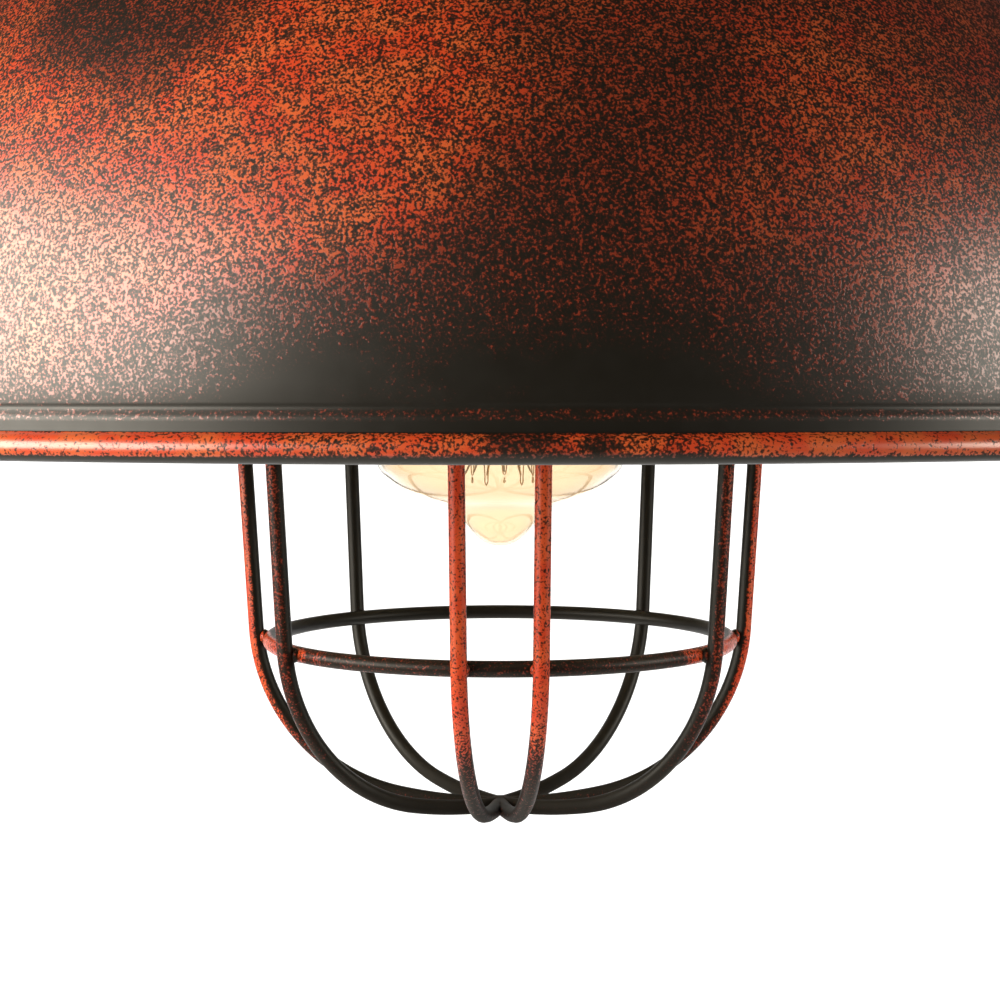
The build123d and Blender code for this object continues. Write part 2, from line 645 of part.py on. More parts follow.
# Centre contact: a sprung bronze tongue over the lamp's contact.
with BuildPart() as centre_contact:
    with BuildSketch(Plane.YZ.offset(-SPRING_WIDTH / 2)):
        with BuildLine():
            Polyline(
                (-10, level(CAVITY_TOP)),
                (-10, level(CAVITY_TOP - SPRING_SHEET)),
                (-5.5, level(CAVITY_TOP - SPRING_SHEET)),
                (-2.5, level(SPRING_CONTACT)),
                (2.5, level(SPRING_CONTACT)),
                (3.5, level(SPRING_CONTACT + 0.8)),
                (3.5, level(SPRING_CONTACT + 1.3)),
                (2.3, level(SPRING_CONTACT + SPRING_SHEET)),
                (-2.3, level(SPRING_CONTACT + SPRING_SHEET)),
                (-5.3, level(CAVITY_TOP)),
                close=True,
            )
        make_face()
    extrude(amount=SPRING_WIDTH)
    with BuildSketch(Plane.XY.offset(level(CAVITY_TOP - SPRING_SHEET))):
        with Locations(CONTACT_RIVET_PLACE):
            Circle(RIVET_RADIUS + NIPPLE_CLEARANCE)
    extrude(amount=SPRING_SHEET, mode=Mode.SUBTRACT)
centre_contact.part.label = "centre_contact"
export_step(centre_contact.part, "parts/centre_contact.step")

# Rivets through the porcelain floor join each contact to its terminal.
rivets = (
    ("contact_rivet", CONTACT_RIVET_PLACE, CAVITY_TOP - SPRING_SHEET, 1.7),
    ("shell_rivet", SHELL_RIVET_PLACE, SHELL_FLOOR, 1.2),
)
for rivet_name, rivet_place, rivet_seat, head_radius in rivets:
    with BuildPart() as rivet:
        with BuildSketch(Plane.XY.offset(level(rivet_seat - RIVET_HEAD))):
            with Locations(rivet_place):
                Circle(head_radius)
        extrude(amount=RIVET_HEAD)
        with BuildSketch(Plane.XY.offset(level(rivet_seat))):
            with Locations(rivet_place):
                Circle(RIVET_RADIUS)
        extrude(amount=PORCELAIN_TOP - rivet_seat)
    rivet.part.label = rivet_name
    export_step(rivet.part, f"parts/{rivet_name}.step")

# Terminals: brass plates on the porcelain, each with a wire screw.
for terminal_name, side in (("line_terminal", -1), ("neutral_terminal", 1)):
    with BuildPart() as terminal:
        with BuildSketch(Plane.XY.offset(level(PORCELAIN_TOP))):
            with Locations((0, side * TERMINAL_REACH)):
                RectangleRounded(TERMINAL_LENGTH, TERMINAL_WIDTH, 1)
                Circle(TERMINAL_SCREW_RADIUS + NIPPLE_CLEARANCE, mode=Mode.SUBTRACT)
        extrude(amount=TERMINAL_SHEET)
    terminal.part.label = terminal_name
    export_step(terminal.part, f"parts/{terminal_name}.step")

with BuildPart() as terminal_screws:
    with BuildSketch(Plane.XY.offset(level(TERMINAL_SCREW_TIP))):
        with GridLocations(0, 2 * TERMINAL_REACH, 1, 2):
            Circle(TERMINAL_SCREW_RADIUS)
    extrude(amount=PORCELAIN_TOP + TERMINAL_SHEET - TERMINAL_SCREW_TIP)
    with BuildSketch(Plane.XY.offset(level(PORCELAIN_TOP + TERMINAL_SHEET))):
        with GridLocations(0, 2 * TERMINAL_REACH, 1, 2):
            Circle(TERMINAL_HEAD_RADIUS)
    extrude(amount=TERMINAL_HEAD)
    with BuildSketch(Plane.XY.offset(level(PORCELAIN_TOP + TERMINAL_SHEET + TERMINAL_HEAD - SLOT_DEPTH))):
        with GridLocations(0, 2 * TERMINAL_REACH, 1, 2):
            Rectangle(2 * TERMINAL_HEAD_RADIUS, SCREW_SLOT)
    extrude(amount=SLOT_DEPTH, mode=Mode.SUBTRACT)
terminal_screws.part.label = "terminal_screws"
export_step(terminal_screws.part, "parts/terminal_screws.step")

# Lamp cap: thin brass over the glass neck, closed by a black glass insulator and a contact.
with BuildPart() as lamp_cap:
    with BuildSketch(Plane.XZ):
        with BuildLine():
            Polyline(
                (CAP_RADIUS - CAP_SHEET, level(CAP_BOTTOM)),
                (CAP_RADIUS, level(CAP_BOTTOM)),
                (CAP_RADIUS, level(CAP_SHOULDER)),
                (CAP_RADIUS - 1.2, level(CAP_TOP)),
                (CAP_RADIUS - 1.9, level(CAP_TOP)),
                (CAP_RADIUS - CAP_SHEET, level(CAP_SHOULDER - 0.3)),
                close=True,
            )
        make_face()
    revolve(axis=Axis.Z)
lamp_cap.part.label = "lamp_cap"
export_step(lamp_cap.part, "parts/lamp_cap.step")

with BuildPart() as lamp_insulator:
    with BuildSketch(Plane.XZ):
        with BuildLine():
            Polyline(
                (0, level(CAP_TOP)),
                (CAP_RADIUS - 1.3, level(CAP_TOP)),
                (CONTACT_RADIUS + 0.6, level(INSULATOR_TOP)),
                (0, level(INSULATOR_TOP)),
                close=True,
            )
        make_face()
    revolve(axis=Axis.Z)
lamp_insulator.part.label = "lamp_insulator"
export_step(lamp_insulator.part, "parts/lamp_insulator.step")

with BuildPart() as lamp_contact:
    with BuildSketch(Plane.XY.offset(level(INSULATOR_TOP))):
        Circle(CONTACT_RADIUS)
    extrude(amount=CONTACT_TOP - INSULATOR_TOP)
    fillet(lamp_contact.faces().sort_by(Axis.Z)[-1].edges(), radius=0.9)
lamp_contact.part.label = "lamp_contact"
export_step(lamp_contact.part, "parts/lamp_contact.step")


def inset(outline, wall):
    """The outline moved inwards by a wall, square to itself, its ends kept on their lines."""
    moved = []
    for index, (radius, height) in enumerate(outline):
        ahead = outline[min(index + 1, len(outline) - 1)]
        behind = outline[max(index - 1, 0)]
        along = (ahead[0] - behind[0], ahead[1] - behind[1])
        length = math.hypot(*along)
        moved.append((radius + wall * along[1] / length, height - wall * along[0] / length))
    moved[0] = (outline[0][0] - wall, outline[0][1])
    moved[-1] = (0, outline[-1][1] + wall)
    return moved


# Lamp glass: one blown skin with a sealed tip.
with BuildPart() as lamp_glass:
    with BuildSketch(Plane.XZ):
        with BuildLine():
            outside = [flat_point(point) for point in ENVELOPE]
            inside = [flat_point(point) for point in inset(ENVELOPE, GLASS)]
            Spline(*outside, tangents=((0, -1), (-1, 0)))
            Spline(*inside, tangents=((0, -1), (-1, 0)))
            Line(outside[0], inside[0])
            Line(outside[-1], inside[-1])
        make_face()
    revolve(axis=Axis.Z)
lamp_glass.part.label = "lamp_glass"
export_step(lamp_glass.part, "parts/lamp_glass.step")

# Glass stem: a flare in the neck that narrows to a rod with a button at its end.
with BuildPart() as lamp_stem:
    with BuildSketch(Plane.XZ):
        with BuildLine():
            Polyline(
                (0, level(GLASS_NECK_TOP)),
                (STEM_FLARE, level(GLASS_NECK_TOP)),
                (STEM_FLARE, level(GLASS_NECK_TOP - 1)),
                (4.5, level(81.0)),
                (4.0, level(72.0)),
                (STEM_RADIUS, level(67.0)),
                (STEM_RADIUS, level(STEM_TIP + 3)),
                (3.0, level(STEM_TIP + 2)),
                (3.0, level(STEM_TIP)),
                (0, level(STEM_TIP)),
                close=True,
            )
        make_face()
    revolve(axis=Axis.Z)
lamp_stem.part.label = "lamp_stem"
export_step(lamp_stem.part, "parts/lamp_stem.step")


def hook(index):
    """Where the filament turns, as X, Y, Z: even turns are at the top, odd ones below."""
    height = FILAMENT_BOTTOM if index % 2 else FILAMENT_TOP
    return on_circle(index * 360 / FILAMENT_HOOKS, FILAMENT_RADIUS, height)


# Filament: straight spans between the upper and lower hooks, in a cage round the stem.
with BuildPart() as filament:
    for index in range(FILAMENT_HOOKS - 1):
        span = Vector(*hook(index + 1)) - Vector(*hook(index))
        with BuildSketch(Plane(origin=hook(index), z_dir=span.normalized())):
            Circle(FILAMENT_WIRE)
        extrude(amount=span.length)
    with Locations(*[hook(index) for index in range(FILAMENT_HOOKS)]):
        Sphere(FILAMENT_WIRE * 1.5)
filament.part.label = "filament"
export_step(filament.part, "parts/filament.step")

# Support wires from the stem to the filament's hooks, and the two leads to its ends.
with BuildPart() as filament_supports:
    for index in range(1, FILAMENT_HOOKS - 1):
        root_level = STEM_TIP + 1 if index % 2 else FILAMENT_TOP + 1
        root_radius = (3.0 if index % 2 else STEM_RADIUS) + NIPPLE_CLEARANCE
        root = Vector(*on_circle(index * 360 / FILAMENT_HOOKS, root_radius + SUPPORT_WIRE, root_level))
        reach = Vector(*hook(index)) - root
        with BuildSketch(Plane(origin=root, z_dir=reach.normalized())):
            Circle(SUPPORT_WIRE)
        extrude(amount=reach.length - SUPPORT_GAP)
filament_supports.part.label = "filament_supports"
export_step(filament_supports.part, "parts/filament_supports.step")

with BuildPart() as lamp_leads:
    for index in (0, FILAMENT_HOOKS - 1):
        root = Vector(*on_circle(index * 360 / FILAMENT_HOOKS, 4.0 + 2 * LEAD_WIRE, 76.0))
        reach = Vector(*hook(index)) - root
        with BuildSketch(Plane(origin=root, z_dir=reach.normalized())):
            Circle(LEAD_WIRE)
        extrude(amount=reach.length - SUPPORT_GAP)
lamp_leads.part.label = "lamp_leads"
export_step(lamp_leads.part, "parts/lamp_leads.step")
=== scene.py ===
import math

import bpy
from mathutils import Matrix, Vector


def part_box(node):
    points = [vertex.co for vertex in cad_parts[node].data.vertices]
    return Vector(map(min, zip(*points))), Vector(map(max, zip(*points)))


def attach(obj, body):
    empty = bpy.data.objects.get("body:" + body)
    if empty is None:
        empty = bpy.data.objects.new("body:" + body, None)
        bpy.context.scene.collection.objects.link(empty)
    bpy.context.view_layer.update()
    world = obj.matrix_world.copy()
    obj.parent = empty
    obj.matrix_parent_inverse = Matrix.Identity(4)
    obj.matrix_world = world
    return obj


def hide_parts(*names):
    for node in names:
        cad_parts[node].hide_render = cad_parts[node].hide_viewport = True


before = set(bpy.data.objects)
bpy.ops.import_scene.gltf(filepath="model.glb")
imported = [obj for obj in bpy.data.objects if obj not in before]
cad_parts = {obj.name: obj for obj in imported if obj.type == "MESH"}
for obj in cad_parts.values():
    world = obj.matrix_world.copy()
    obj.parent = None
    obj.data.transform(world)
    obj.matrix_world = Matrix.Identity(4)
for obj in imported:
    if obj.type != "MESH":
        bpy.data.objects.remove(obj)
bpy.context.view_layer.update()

MM = 0.001

# ---------------------------------------------------------------------------------------------
# The room. A pale floor that curves up into a wall, and the camera just above the shade's rim,
# close to it and tipped down a little, so that it takes in the rim, the guard and the lamp.
# ---------------------------------------------------------------------------------------------
rim_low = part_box("shade")[0].z
FLOOR_DROP = 0.75
floor_level = rim_low - FLOOR_DROP
FLOOR_WIDTH = 7.0
WALL_HEIGHT = 3.0
WALL_BEND = 1.2
WALL_BEND_STEPS = 24
CAMERA_DISTANCE = 462.5 * MM
CAMERA_ABOVE_RIM = 9.17 * MM
CAMERA_TIP = 2.893
CAMERA_LENS = 66.6


class Field:
    """A shader value. Sums on it become Math nodes, and node() adds any other kind of node."""

    def __init__(self, tree, socket=None):
        self.tree = tree
        self.socket = socket

    def feed(self, target, value):
        if isinstance(value, Field):
            self.tree.links.new(value.socket, target)
        else:
            target.default_value = value

    def node(self, kind, inputs, output=0, **settings):
        made = self.tree.nodes.new("ShaderNode" + kind)
        for setting, value in settings.items():
            setattr(made, setting, value)
        for place, value in inputs.items():
            self.feed(made.inputs[place], value)
        return Field(self.tree, made.outputs[output])

    def maths(self, operation, first, second=0.0):
        return self.node("Math", {0: first, 1: second}, operation=operation)

    def __add__(self, other):
        return self.maths("ADD", self, other)

    def __sub__(self, other):
        return self.maths("SUBTRACT", self, other)

    def __rsub__(self, other):
        return self.maths("SUBTRACT", other, self)

    def __mul__(self, other):
        return self.maths("MULTIPLY", self, other)

    __radd__ = __add__
    __rmul__ = __mul__

    def most(self, other):
        return self.maths("MAXIMUM", self, other)

    def between(self, low, high):
        """0 below low, 1 above high, and a smooth step from one to the other."""
        inputs = {"Value": self, "From Min": low, "From Max": high}
        return self.node("MapRange", inputs, interpolation_type="SMOOTHSTEP")

    def mix(self, first, second):
        """The first colour where this is 0, and the second where it is 1."""
        return self.node("Mix", {0: self, 6: first, 7: second}, output=2, data_type="RGBA")

    def noise(self, scale, detail=2.0, roughness=0.5, stretch=(1, 1, 1)):
        """Soft noise over the piece, with its features about one over the scale in metres."""
        where = self.node("Mapping", {"Vector": self.place(), "Scale": stretch})
        inputs = {"Vector": where, "Scale": scale, "Detail": detail, "Roughness": roughness}
        return self.node("TexNoise", inputs)

    def place(self):
        return self.node("TexCoord", {}, output="Object")

    def normal(self):
        return self.node("TexCoord", {}, output="Normal")

    def axis(self, number):
        """X, Y or Z of the place on the piece."""
        return self.node("SeparateXYZ", {0: self.place()}, output=number)

    def facing(self, number):
        """X, Y or Z of the way that the surface faces."""
        return self.node("SeparateXYZ", {0: self.normal()}, output=number)

    def away(self):
        """The level way out from the light's axis to the place on the piece."""
        flat = self.node("VectorMath", {0: self.place(), 1: (1, 1, 0)}, operation="MULTIPLY")
        return self.node("VectorMath", {0: flat}, operation="NORMALIZE")

    def outwards(self):
        """1 where the surface faces away from the light's axis, and -1 where it faces the axis."""
        inputs = {0: self.away(), 1: self.normal()}
        return self.node("VectorMath", inputs, output="Value", operation="DOT_PRODUCT")

    def bump(self, height, strength, distance):
        return self.node("Bump", {"Height": height, "Strength": strength, "Distance": distance})


def colour(red, green, blue):
    """A colour for a shader from 0 to 255 values as a paint chart gives them."""
    linear = [((v / 255 + 0.055) / 1.055) ** 2.4 if v > 10 else v / 3294 for v in (red, green, blue)]
    return (*linear, 1.0)


def new_finish(name):
    """A new material, with a field to start its nodes from."""
    material = bpy.data.materials.new(name)
    material.use_nodes = True
    return material, Field(material.node_tree)


def set_finish(material, start, **sockets):
    """Sets the shader's sockets, named with _ for a space, to values or fields."""
    shader = material.node_tree.nodes["Principled BSDF"]
    for socket, value in sockets.items():
        start.feed(shader.inputs[socket.replace("_", " ")], value)
    return material


def clear_selection():
    if bpy.context.mode != "OBJECT":
        bpy.ops.object.mode_set(mode="OBJECT")
    bpy.ops.object.select_all(action="DESELECT")


clear_selection()
bpy.ops.mesh.primitive_plane_add(size=FLOOR_WIDTH, location=(0, 0, floor_level))
floor = bpy.context.object
floor.name = "floor"
bpy.ops.object.transform_apply(location=True)
bpy.ops.object.mode_set(mode="EDIT")
bpy.ops.mesh.select_all(action="DESELECT")
bpy.ops.object.mode_set(mode="OBJECT")
for edge in floor.data.edges:
    edge.select = all(floor.data.vertices[v].co.y > 1 for v in edge.vertices)
bpy.ops.object.mode_set(mode="EDIT")
bpy.ops.mesh.select_mode(type="EDGE")
bpy.ops.mesh.extrude_region_move(TRANSFORM_OT_translate={"value": (0, 0, WALL_HEIGHT)})
bpy.ops.object.mode_set(mode="OBJECT")
for edge in floor.data.edges:
    ends = [floor.data.vertices[v].co for v in edge.vertices]
    edge.select = all(end.y > 1 and abs(end.z - floor_level) < MM for end in ends)
bpy.ops.object.mode_set(mode="EDIT")
bpy.ops.mesh.bevel(offset=WALL_BEND, segments=WALL_BEND_STEPS, affect="EDGES")
bpy.ops.object.mode_set(mode="OBJECT")
bpy.ops.object.shade_smooth()
floor_finish, start = new_finish("floor_paper")
paper_grain = start.noise(40, detail=3)
set_finish(
    floor_finish,
    start,
    Base_Color=paper_grain.mix((0.88, 0.88, 0.88, 1), (0.92, 0.92, 0.92, 1)),
    Roughness=0.9,
)
floor.data.materials.append(floor_finish)

# The lights. Two warm softboxes stand at the front, a strong one on the left and a weak one on the
# right. Two white ones hang behind the shade and turn to the wall, which shines back white.
LIGHTS = (
    # name, azimuth from the front, elevation, distance, width, height, power
    ("key_softbox", -66, 12, 1.10, 1.20, 0.66, 29.0),
    ("side_softbox", 74, 9, 1.10, 0.56, 0.44, 7.0),
)
WARM = (1.0, 0.93, 0.80)
WHITE = (1.0, 1.0, 1.0)
# to the side, back and up from the rim's middle, for a wall light and for what it is turned to
WALL_LIGHT_PLACE = (1.2, 1.3, 0.8)
WALL_LIGHT_TARGET = (0.3, 3.2, -0.2)
WORLD_STRENGTH = 0.035
aim = Vector((0, 0, rim_low))


def add_softbox(name, place, target, width, height, power, tint=WARM):
    """A rectangular area light at a place, turned to its target."""
    light = bpy.data.lights.new(name, "AREA")
    light.shape = "RECTANGLE"
    light.size = width
    light.size_y = height
    light.energy = power
    light.color = tint
    lamp = bpy.data.objects.new(name, light)
    lamp.location = place
    lamp.rotation_euler = (target - place).to_track_quat("-Z", "Y").to_euler()
    bpy.context.scene.collection.objects.link(lamp)


for name, azimuth, elevation, distance, width, height, power in LIGHTS:
    turn, lift = math.radians(azimuth), math.radians(elevation)
    way = Vector((math.sin(turn) * math.cos(lift), -math.cos(turn) * math.cos(lift), math.sin(lift)))
    add_softbox(name, aim + way * distance, aim, width, height, power)
for side in (-1, 1):
    place, target = (
        Vector((side * aside, back, rim_low + up))
        for aside, back, up in (WALL_LIGHT_PLACE, WALL_LIGHT_TARGET)
    )
    add_softbox("wall_light", place, target, 1.6, 0.8, 50.0, WHITE)

world = bpy.data.worlds.new("studio")
world.use_nodes = True
world.node_tree.nodes["Background"].inputs["Color"].default_value = (1, 1, 1, 1)
world.node_tree.nodes["Background"].inputs["Strength"].default_value = WORLD_STRENGTH
bpy.context.scene.world = world
bpy.context.scene.view_settings.view_transform = "Standard"

camera_data = bpy.data.cameras.new("camera")
camera_data.sensor_width = 36.0
camera_data.lens = CAMERA_LENS
camera_data.clip_start = 0.01
camera = bpy.data.objects.new("camera", camera_data)
camera.location = (0, -CAMERA_DISTANCE, rim_low + CAMERA_ABOVE_RIM)
camera.rotation_euler = (math.radians(90 - CAMERA_TIP), 0, 0)
bpy.context.scene.collection.objects.link(camera)
bpy.context.scene.camera = camera

# ---------------------------------------------------------------------------------------------
# Shade. One disc of 1 mm steel spun over a form, with a crease above the band and its edge rolled
# round a wire. Outside it is satin black with red sprayed on in fine droplets, thick on the dome
# and the rolled edge and thin between them. Red is thicker on the left of the dome and at the sides
# of the rolled edge, partly painted light from the softboxes; thinner in the middle at the front,
# partly painted shade; and missing under the rolled edge, a painted shade. Inside it is cream enamel.
# ---------------------------------------------------------------------------------------------
SHEET = 1.0 * MM
DOME_RADIUS = 172.6 * MM
DOME_RISE = 140.0 * MM
DOME_FOOT = rim_low + 9.9 * MM
CROWN_RADIUS = 46.0 * MM
NIPPLE_HOLE = 5.2 * MM
GROOVE_DEPTH = 0.7 * MM
BAND_RADIUS = 173.1 * MM
BAND_TOP = rim_low + 7.2 * MM
BEAD_RADIUS = 2.45 * MM
BEAD_CENTRE = 172.9 * MM
SHADE_STEPS = 240


def arc(centre, radius, start_turn, end_turn, count, squash=1.0):
    """Points on an arc or, with squash, on an ellipse, as distance from the axis and height."""
    points = []
    for index in range(count + 1):
        turn = math.radians(start_turn + (end_turn - start_turn) * index / count)
        points.append(
            (centre[0] + radius * math.cos(turn), centre[1] + radius * squash * math.sin(turn))
        )
    return points


def drawn_line(name, points):
    """A line of edges drawn from point to point, each an X, Y and Z."""
    clear_selection()
    bpy.ops.mesh.primitive_plane_add(size=MM, location=points[0])
    piece = bpy.context.object
    piece.name = name
    piece.data.name = name
    bpy.ops.object.transform_apply(location=True)
    bpy.ops.object.mode_set(mode="EDIT")
    bpy.ops.mesh.select_mode(type="VERT")
    bpy.ops.mesh.merge(type="CENTER")
    for here, there in zip(points, points[1:]):
        step = [there[axis] - here[axis] for axis in range(3)]
        bpy.ops.mesh.extrude_region_move(TRANSFORM_OT_translate={"value": step})
    bpy.ops.mesh.select_all(action="SELECT")
    return piece


def select_only(piece):
    clear_selection()
    piece.select_set(True)
    bpy.context.view_layer.objects.active = piece


def tidy_mesh(piece, smooth_angle=35.0):
    """Closes the seams, turns every face outwards and smooths what isn't an edge."""
    select_only(piece)
    bpy.ops.object.mode_set(mode="EDIT")
    bpy.ops.mesh.select_all(action="SELECT")
    bpy.ops.mesh.remove_doubles(threshold=0.002 * MM)
    bpy.ops.mesh.normals_make_consistent(inside=False)
    bpy.ops.object.mode_set(mode="OBJECT")
    bpy.ops.object.shade_smooth_by_angle(angle=math.radians(smooth_angle))
    return piece


def turned(name, outline, steps=96, smooth_angle=35.0):
    """A piece turned about the upright axis from a closed outline, as on a lathe."""
    piece = drawn_line(name, [(radius, 0, height) for radius, height in [*outline, outline[0]]])
    bpy.ops.mesh.spin(steps=steps, angle=2 * math.pi, center=(0, 0, 0), axis=(0, 0, 1))
    return tidy_mesh(piece, smooth_angle)


def apply_modifier(piece, modifier):
    select_only(piece)
    bpy.ops.object.modifier_apply(modifier=modifier.name)


def fitted(piece, body, slot, finish, *nodes):
    """Gives the piece its finish and body, and hides the CAD nodes that it stands for."""
    piece.data.materials.append(finish)
    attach(piece, body)
    if nodes:
        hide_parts(*nodes)
    return piece


inner_radius = DOME_RADIUS - SHEET
inner_rise = DOME_RISE - SHEET
crown_top = DOME_FOOT + DOME_RISE * math.sqrt(1 - (CROWN_RADIUS / DOME_RADIUS) ** 2)
crown_turn = math.degrees(math.acos(CROWN_RADIUS / DOME_RADIUS))
crown_bottom = crown_top - SHEET
inner_turn = math.degrees(math.asin((crown_bottom - DOME_FOOT) / inner_rise))
groove_bottom = DOME_FOOT - 2 * GROOVE_DEPTH
bead_middle = rim_low + BEAD_RADIUS
bead_turn = math.degrees(math.acos(SHEET / 2 / BEAD_RADIUS))
step_middle = (groove_bottom + BAND_TOP) / 2
outer_skin = (
    [(NIPPLE_HOLE, crown_top), (20 * MM, crown_top)]
    + arc((0, DOME_FOOT), DOME_RADIUS, crown_turn, 0, 56, DOME_RISE / DOME_RADIUS)
    + [
        (DOME_RADIUS - 0.05 * MM, DOME_FOOT - 0.40 * MM),
        (DOME_RADIUS - 0.13 * MM, DOME_FOOT - 0.70 * MM),
        (DOME_RADIUS - 0.12 * MM, DOME_FOOT - 1.00 * MM),
        (DOME_RADIUS + 0.04 * MM, DOME_FOOT - 1.40 * MM),
        (DOME_RADIUS + 0.26 * MM, DOME_FOOT - 1.90 * MM),
        (DOME_RADIUS + 0.44 * MM, DOME_FOOT - 2.30 * MM),
        (BAND_RADIUS + 0.04 * MM, DOME_FOOT - 2.70 * MM),
        (BAND_RADIUS + 0.03 * MM, DOME_FOOT - 3.10 * MM),
        (BAND_RADIUS, bead_middle + BEAD_RADIUS + 0.25 * MM),
    ]
    + arc((BEAD_CENTRE, bead_middle), BEAD_RADIUS, bead_turn, bead_turn - 360 + 2 * (90 - bead_turn), 36)
)
inner_skin = (
    [
        (BAND_RADIUS - SHEET, BAND_TOP),
        (inner_radius, groove_bottom),
        (inner_radius - GROOVE_DEPTH, DOME_FOOT - GROOVE_DEPTH),
    ]
    + arc((0, DOME_FOOT), inner_radius, 0, inner_turn, 48, inner_rise / inner_radius)
    + [(20 * MM, crown_bottom), (NIPPLE_HOLE, crown_bottom)]
)
shade = turned("spun_shade", outer_skin + inner_skin, SHADE_STEPS)

BLACK = colour(20, 16, 8)
DEEP_RED = colour(128, 44, 20)
RED = colour(206, 66, 26)
ORANGE = colour(210, 94, 42)
PATCHES = (
    # angle from the front (to the right), height above the rim in mm, reach in mm, more or less red
    # This first patch thickens the red on the left, where the key softbox's highlight falls: denser spray
    # there, and partly a painted highlight.
    (-22.0, 48, 62, 0.55),
    (-12.0, 56, 30, 0.25),
    (-28.0, 78, 17, -0.70),
    (-22.5, 68, 15, -0.55),
    (-18.5, 76, 13, -0.40),
    (2.5, 42, 20, -0.20),
    (12.0, 60, 14, -0.05),
    (25.0, 52, 34, 0.18),
    (14.0, 36, 18, 0.14),
    (-4.0, 74, 18, 0.22),
)


def sprayed(start, cover):
    """How much red lies over the black, from 0 to 1: fine droplets, thicker where cover is."""
    droplets = start.noise(2000, detail=1.0) * 0.72 + start.noise(850, detail=1.0) * 0.28
    heap = start.maths("EXPONENT", (droplets - 0.5) * 22)
    return start.maths("MINIMUM", cover * heap * 0.29, 1.0)


def sprayed_finish(name, cover_of, gloss=0.42, shine=0.5, reds=(DEEP_RED, RED, ORANGE), dull_below=-1.0):
    """Satin black under sprayed red, as thick as cover_of says, and dull below a height."""
    material, start = new_finish(name)
    thickness = cover_of(start)
    red = sprayed(start, thickness)
    reds = thickness.between(0.35, 1.05).mix(reds[0], start.noise(160).between(0.35, 0.65).mix(*reds[1:]))
    rubs = start.noise(300, detail=3)
    dull = 1 - start.axis(2).between(dull_below, dull_below + 16 * MM)
    set_finish(
        material,
        start,
        Base_Color=red.mix(BLACK, reds),
        Roughness=gloss - red * 0.12 + (rubs - 0.5) * 0.10 + dull * 0.4,
        Specular_IOR_Level=shine,
        Coat_Weight=red * shine * 1.8,
        Coat_Roughness=0.36,
        Normal=start.bump(red, 0.35, 0.06 * MM),
    )
    return material


def shade_cover(start):
    """The spray on the shade: clouds on the dome, little by the band, much on the rolled edge.
    Thicker red on the left and at the sides partly paints light from the softboxes, thinner red in
    the middle at the front partly paints shade, and no red under the rolled edge paints shade.
    """
    height = start.axis(2)
    clouds = start.noise(26, detail=4, roughness=0.62).between(0.30, 0.70)
    dome = 0.46 + clouds * 0.26
    for angle, above, reach, amount in PATCHES:
        turn = math.radians(angle)
        lift = (rim_low + above * MM - DOME_FOOT) / DOME_RISE
        out = DOME_RADIUS * math.sqrt(1 - lift**2)
        spot = (out * math.sin(turn), -out * math.cos(turn), rim_low + above * MM)
        apart = start.node("VectorMath", {0: start.place(), 1: spot}, output="Value", operation="DISTANCE")
        dome = dome + (1 - apart.between(0.2 * reach * MM, 1.25 * reach * MM)) * amount
    aside = start.maths("ABSOLUTE", start.axis(0))
    # Towards the left and right the red reaches 20 mm lower on the dome than in the middle at the front:
    # partly thinner spray in the middle, partly painted shade between the side softboxes.
    edge = start.noise(32, detail=3) * 16 * MM + aside.between(18 * MM, 85 * MM) * 20 * MM
    dome = dome * (height + edge).between(DOME_FOOT + 12 * MM, DOME_FOOT + 44 * MM)
    dome = dome + (start.noise(55, detail=2) - 0.5) * 0.12
    step = 1 - start.maths("ABSOLUTE", height - step_middle).between(0.3 * MM, 1.2 * MM)
    # More red on the step towards the left and right: partly painted light from the side softboxes.
    step = step * (0.12 + aside.between(25 * MM, 125 * MM) * 0.30)
    bead_clouds = start.noise(26, detail=3, roughness=0.6).between(0.42, 0.58)
    # Far more red at the left and right of the rolled edge than in the middle at the front: painted light
    # where the side softboxes fall on it and painted shade between them, over patches of red.
    bead_red_and_painted_light = aside.between(25 * MM, 80 * MM) * 14 + bead_clouds * 1.6
    # Faces of the rolled edge that look down get no red: painted shade on its underside.
    bead = (0.35 + bead_red_and_painted_light) * start.facing(2).between(-0.6, -0.1)
    on_bead = 1 - height.between(rim_low + 4.7 * MM, rim_low + 5.1 * MM)
    on_dome = height.between(DOME_FOOT - MM, DOME_FOOT + 2 * MM)
    return (dome * on_dome).most(step).most(bead * on_bead)


shade_finish = sprayed_finish("sprayed_black_and_red_with_painted_light_and_shade", shade_cover)

enamel_finish, start = new_finish("cream_enamel")
peel = start.noise(420, detail=2)
haze = start.noise(14, detail=4).between(0.3, 0.75)
set_finish(
    enamel_finish,
    start,
    Base_Color=haze.mix(colour(231, 222, 200), colour(218, 206, 180)),
    Roughness=0.28 + haze * 0.12,
    Coat_Weight=0.25,
    Normal=start.bump(peel, 0.10, 0.06 * MM),
)
fitted(shade, "lamp_shade_assembly", "antiqued_shade", shade_finish, "shade")
shade.data.materials.append(enamel_finish)
for face in shade.data.polygons:
    flat_radius = math.hypot(face.center.x, face.center.y)
    on_inner = face.center.z > bead_middle and (
        face.normal.x * face.center.x + face.normal.y * face.center.y < -0.2 * flat_radius
        or (face.normal.z < -0.2 and face.center.z > DOME_FOOT)
    )
    face.material_index = 1 if on_inner else 0

# ---------------------------------------------------------------------------------------------
# Socket cup and cord gland. A drawn steel cup in black stoved enamel covers the wiring on the
# crown, and a black nylon gland on the end of the nipple holds the cord. The M10 nipple, its
# nuts and washers are zinc plated and clamp the stack together.
# ---------------------------------------------------------------------------------------------
CUP_SHEET = 1.2 * MM
CUP_RADIUS = 31.0 * MM
CUP_FLANGE = 37.0 * MM
CUP_CORNER = 7.5 * MM
cup_top = rim_low + 193.5 * MM
CUP_FOOT_BEND = 1.2 * MM


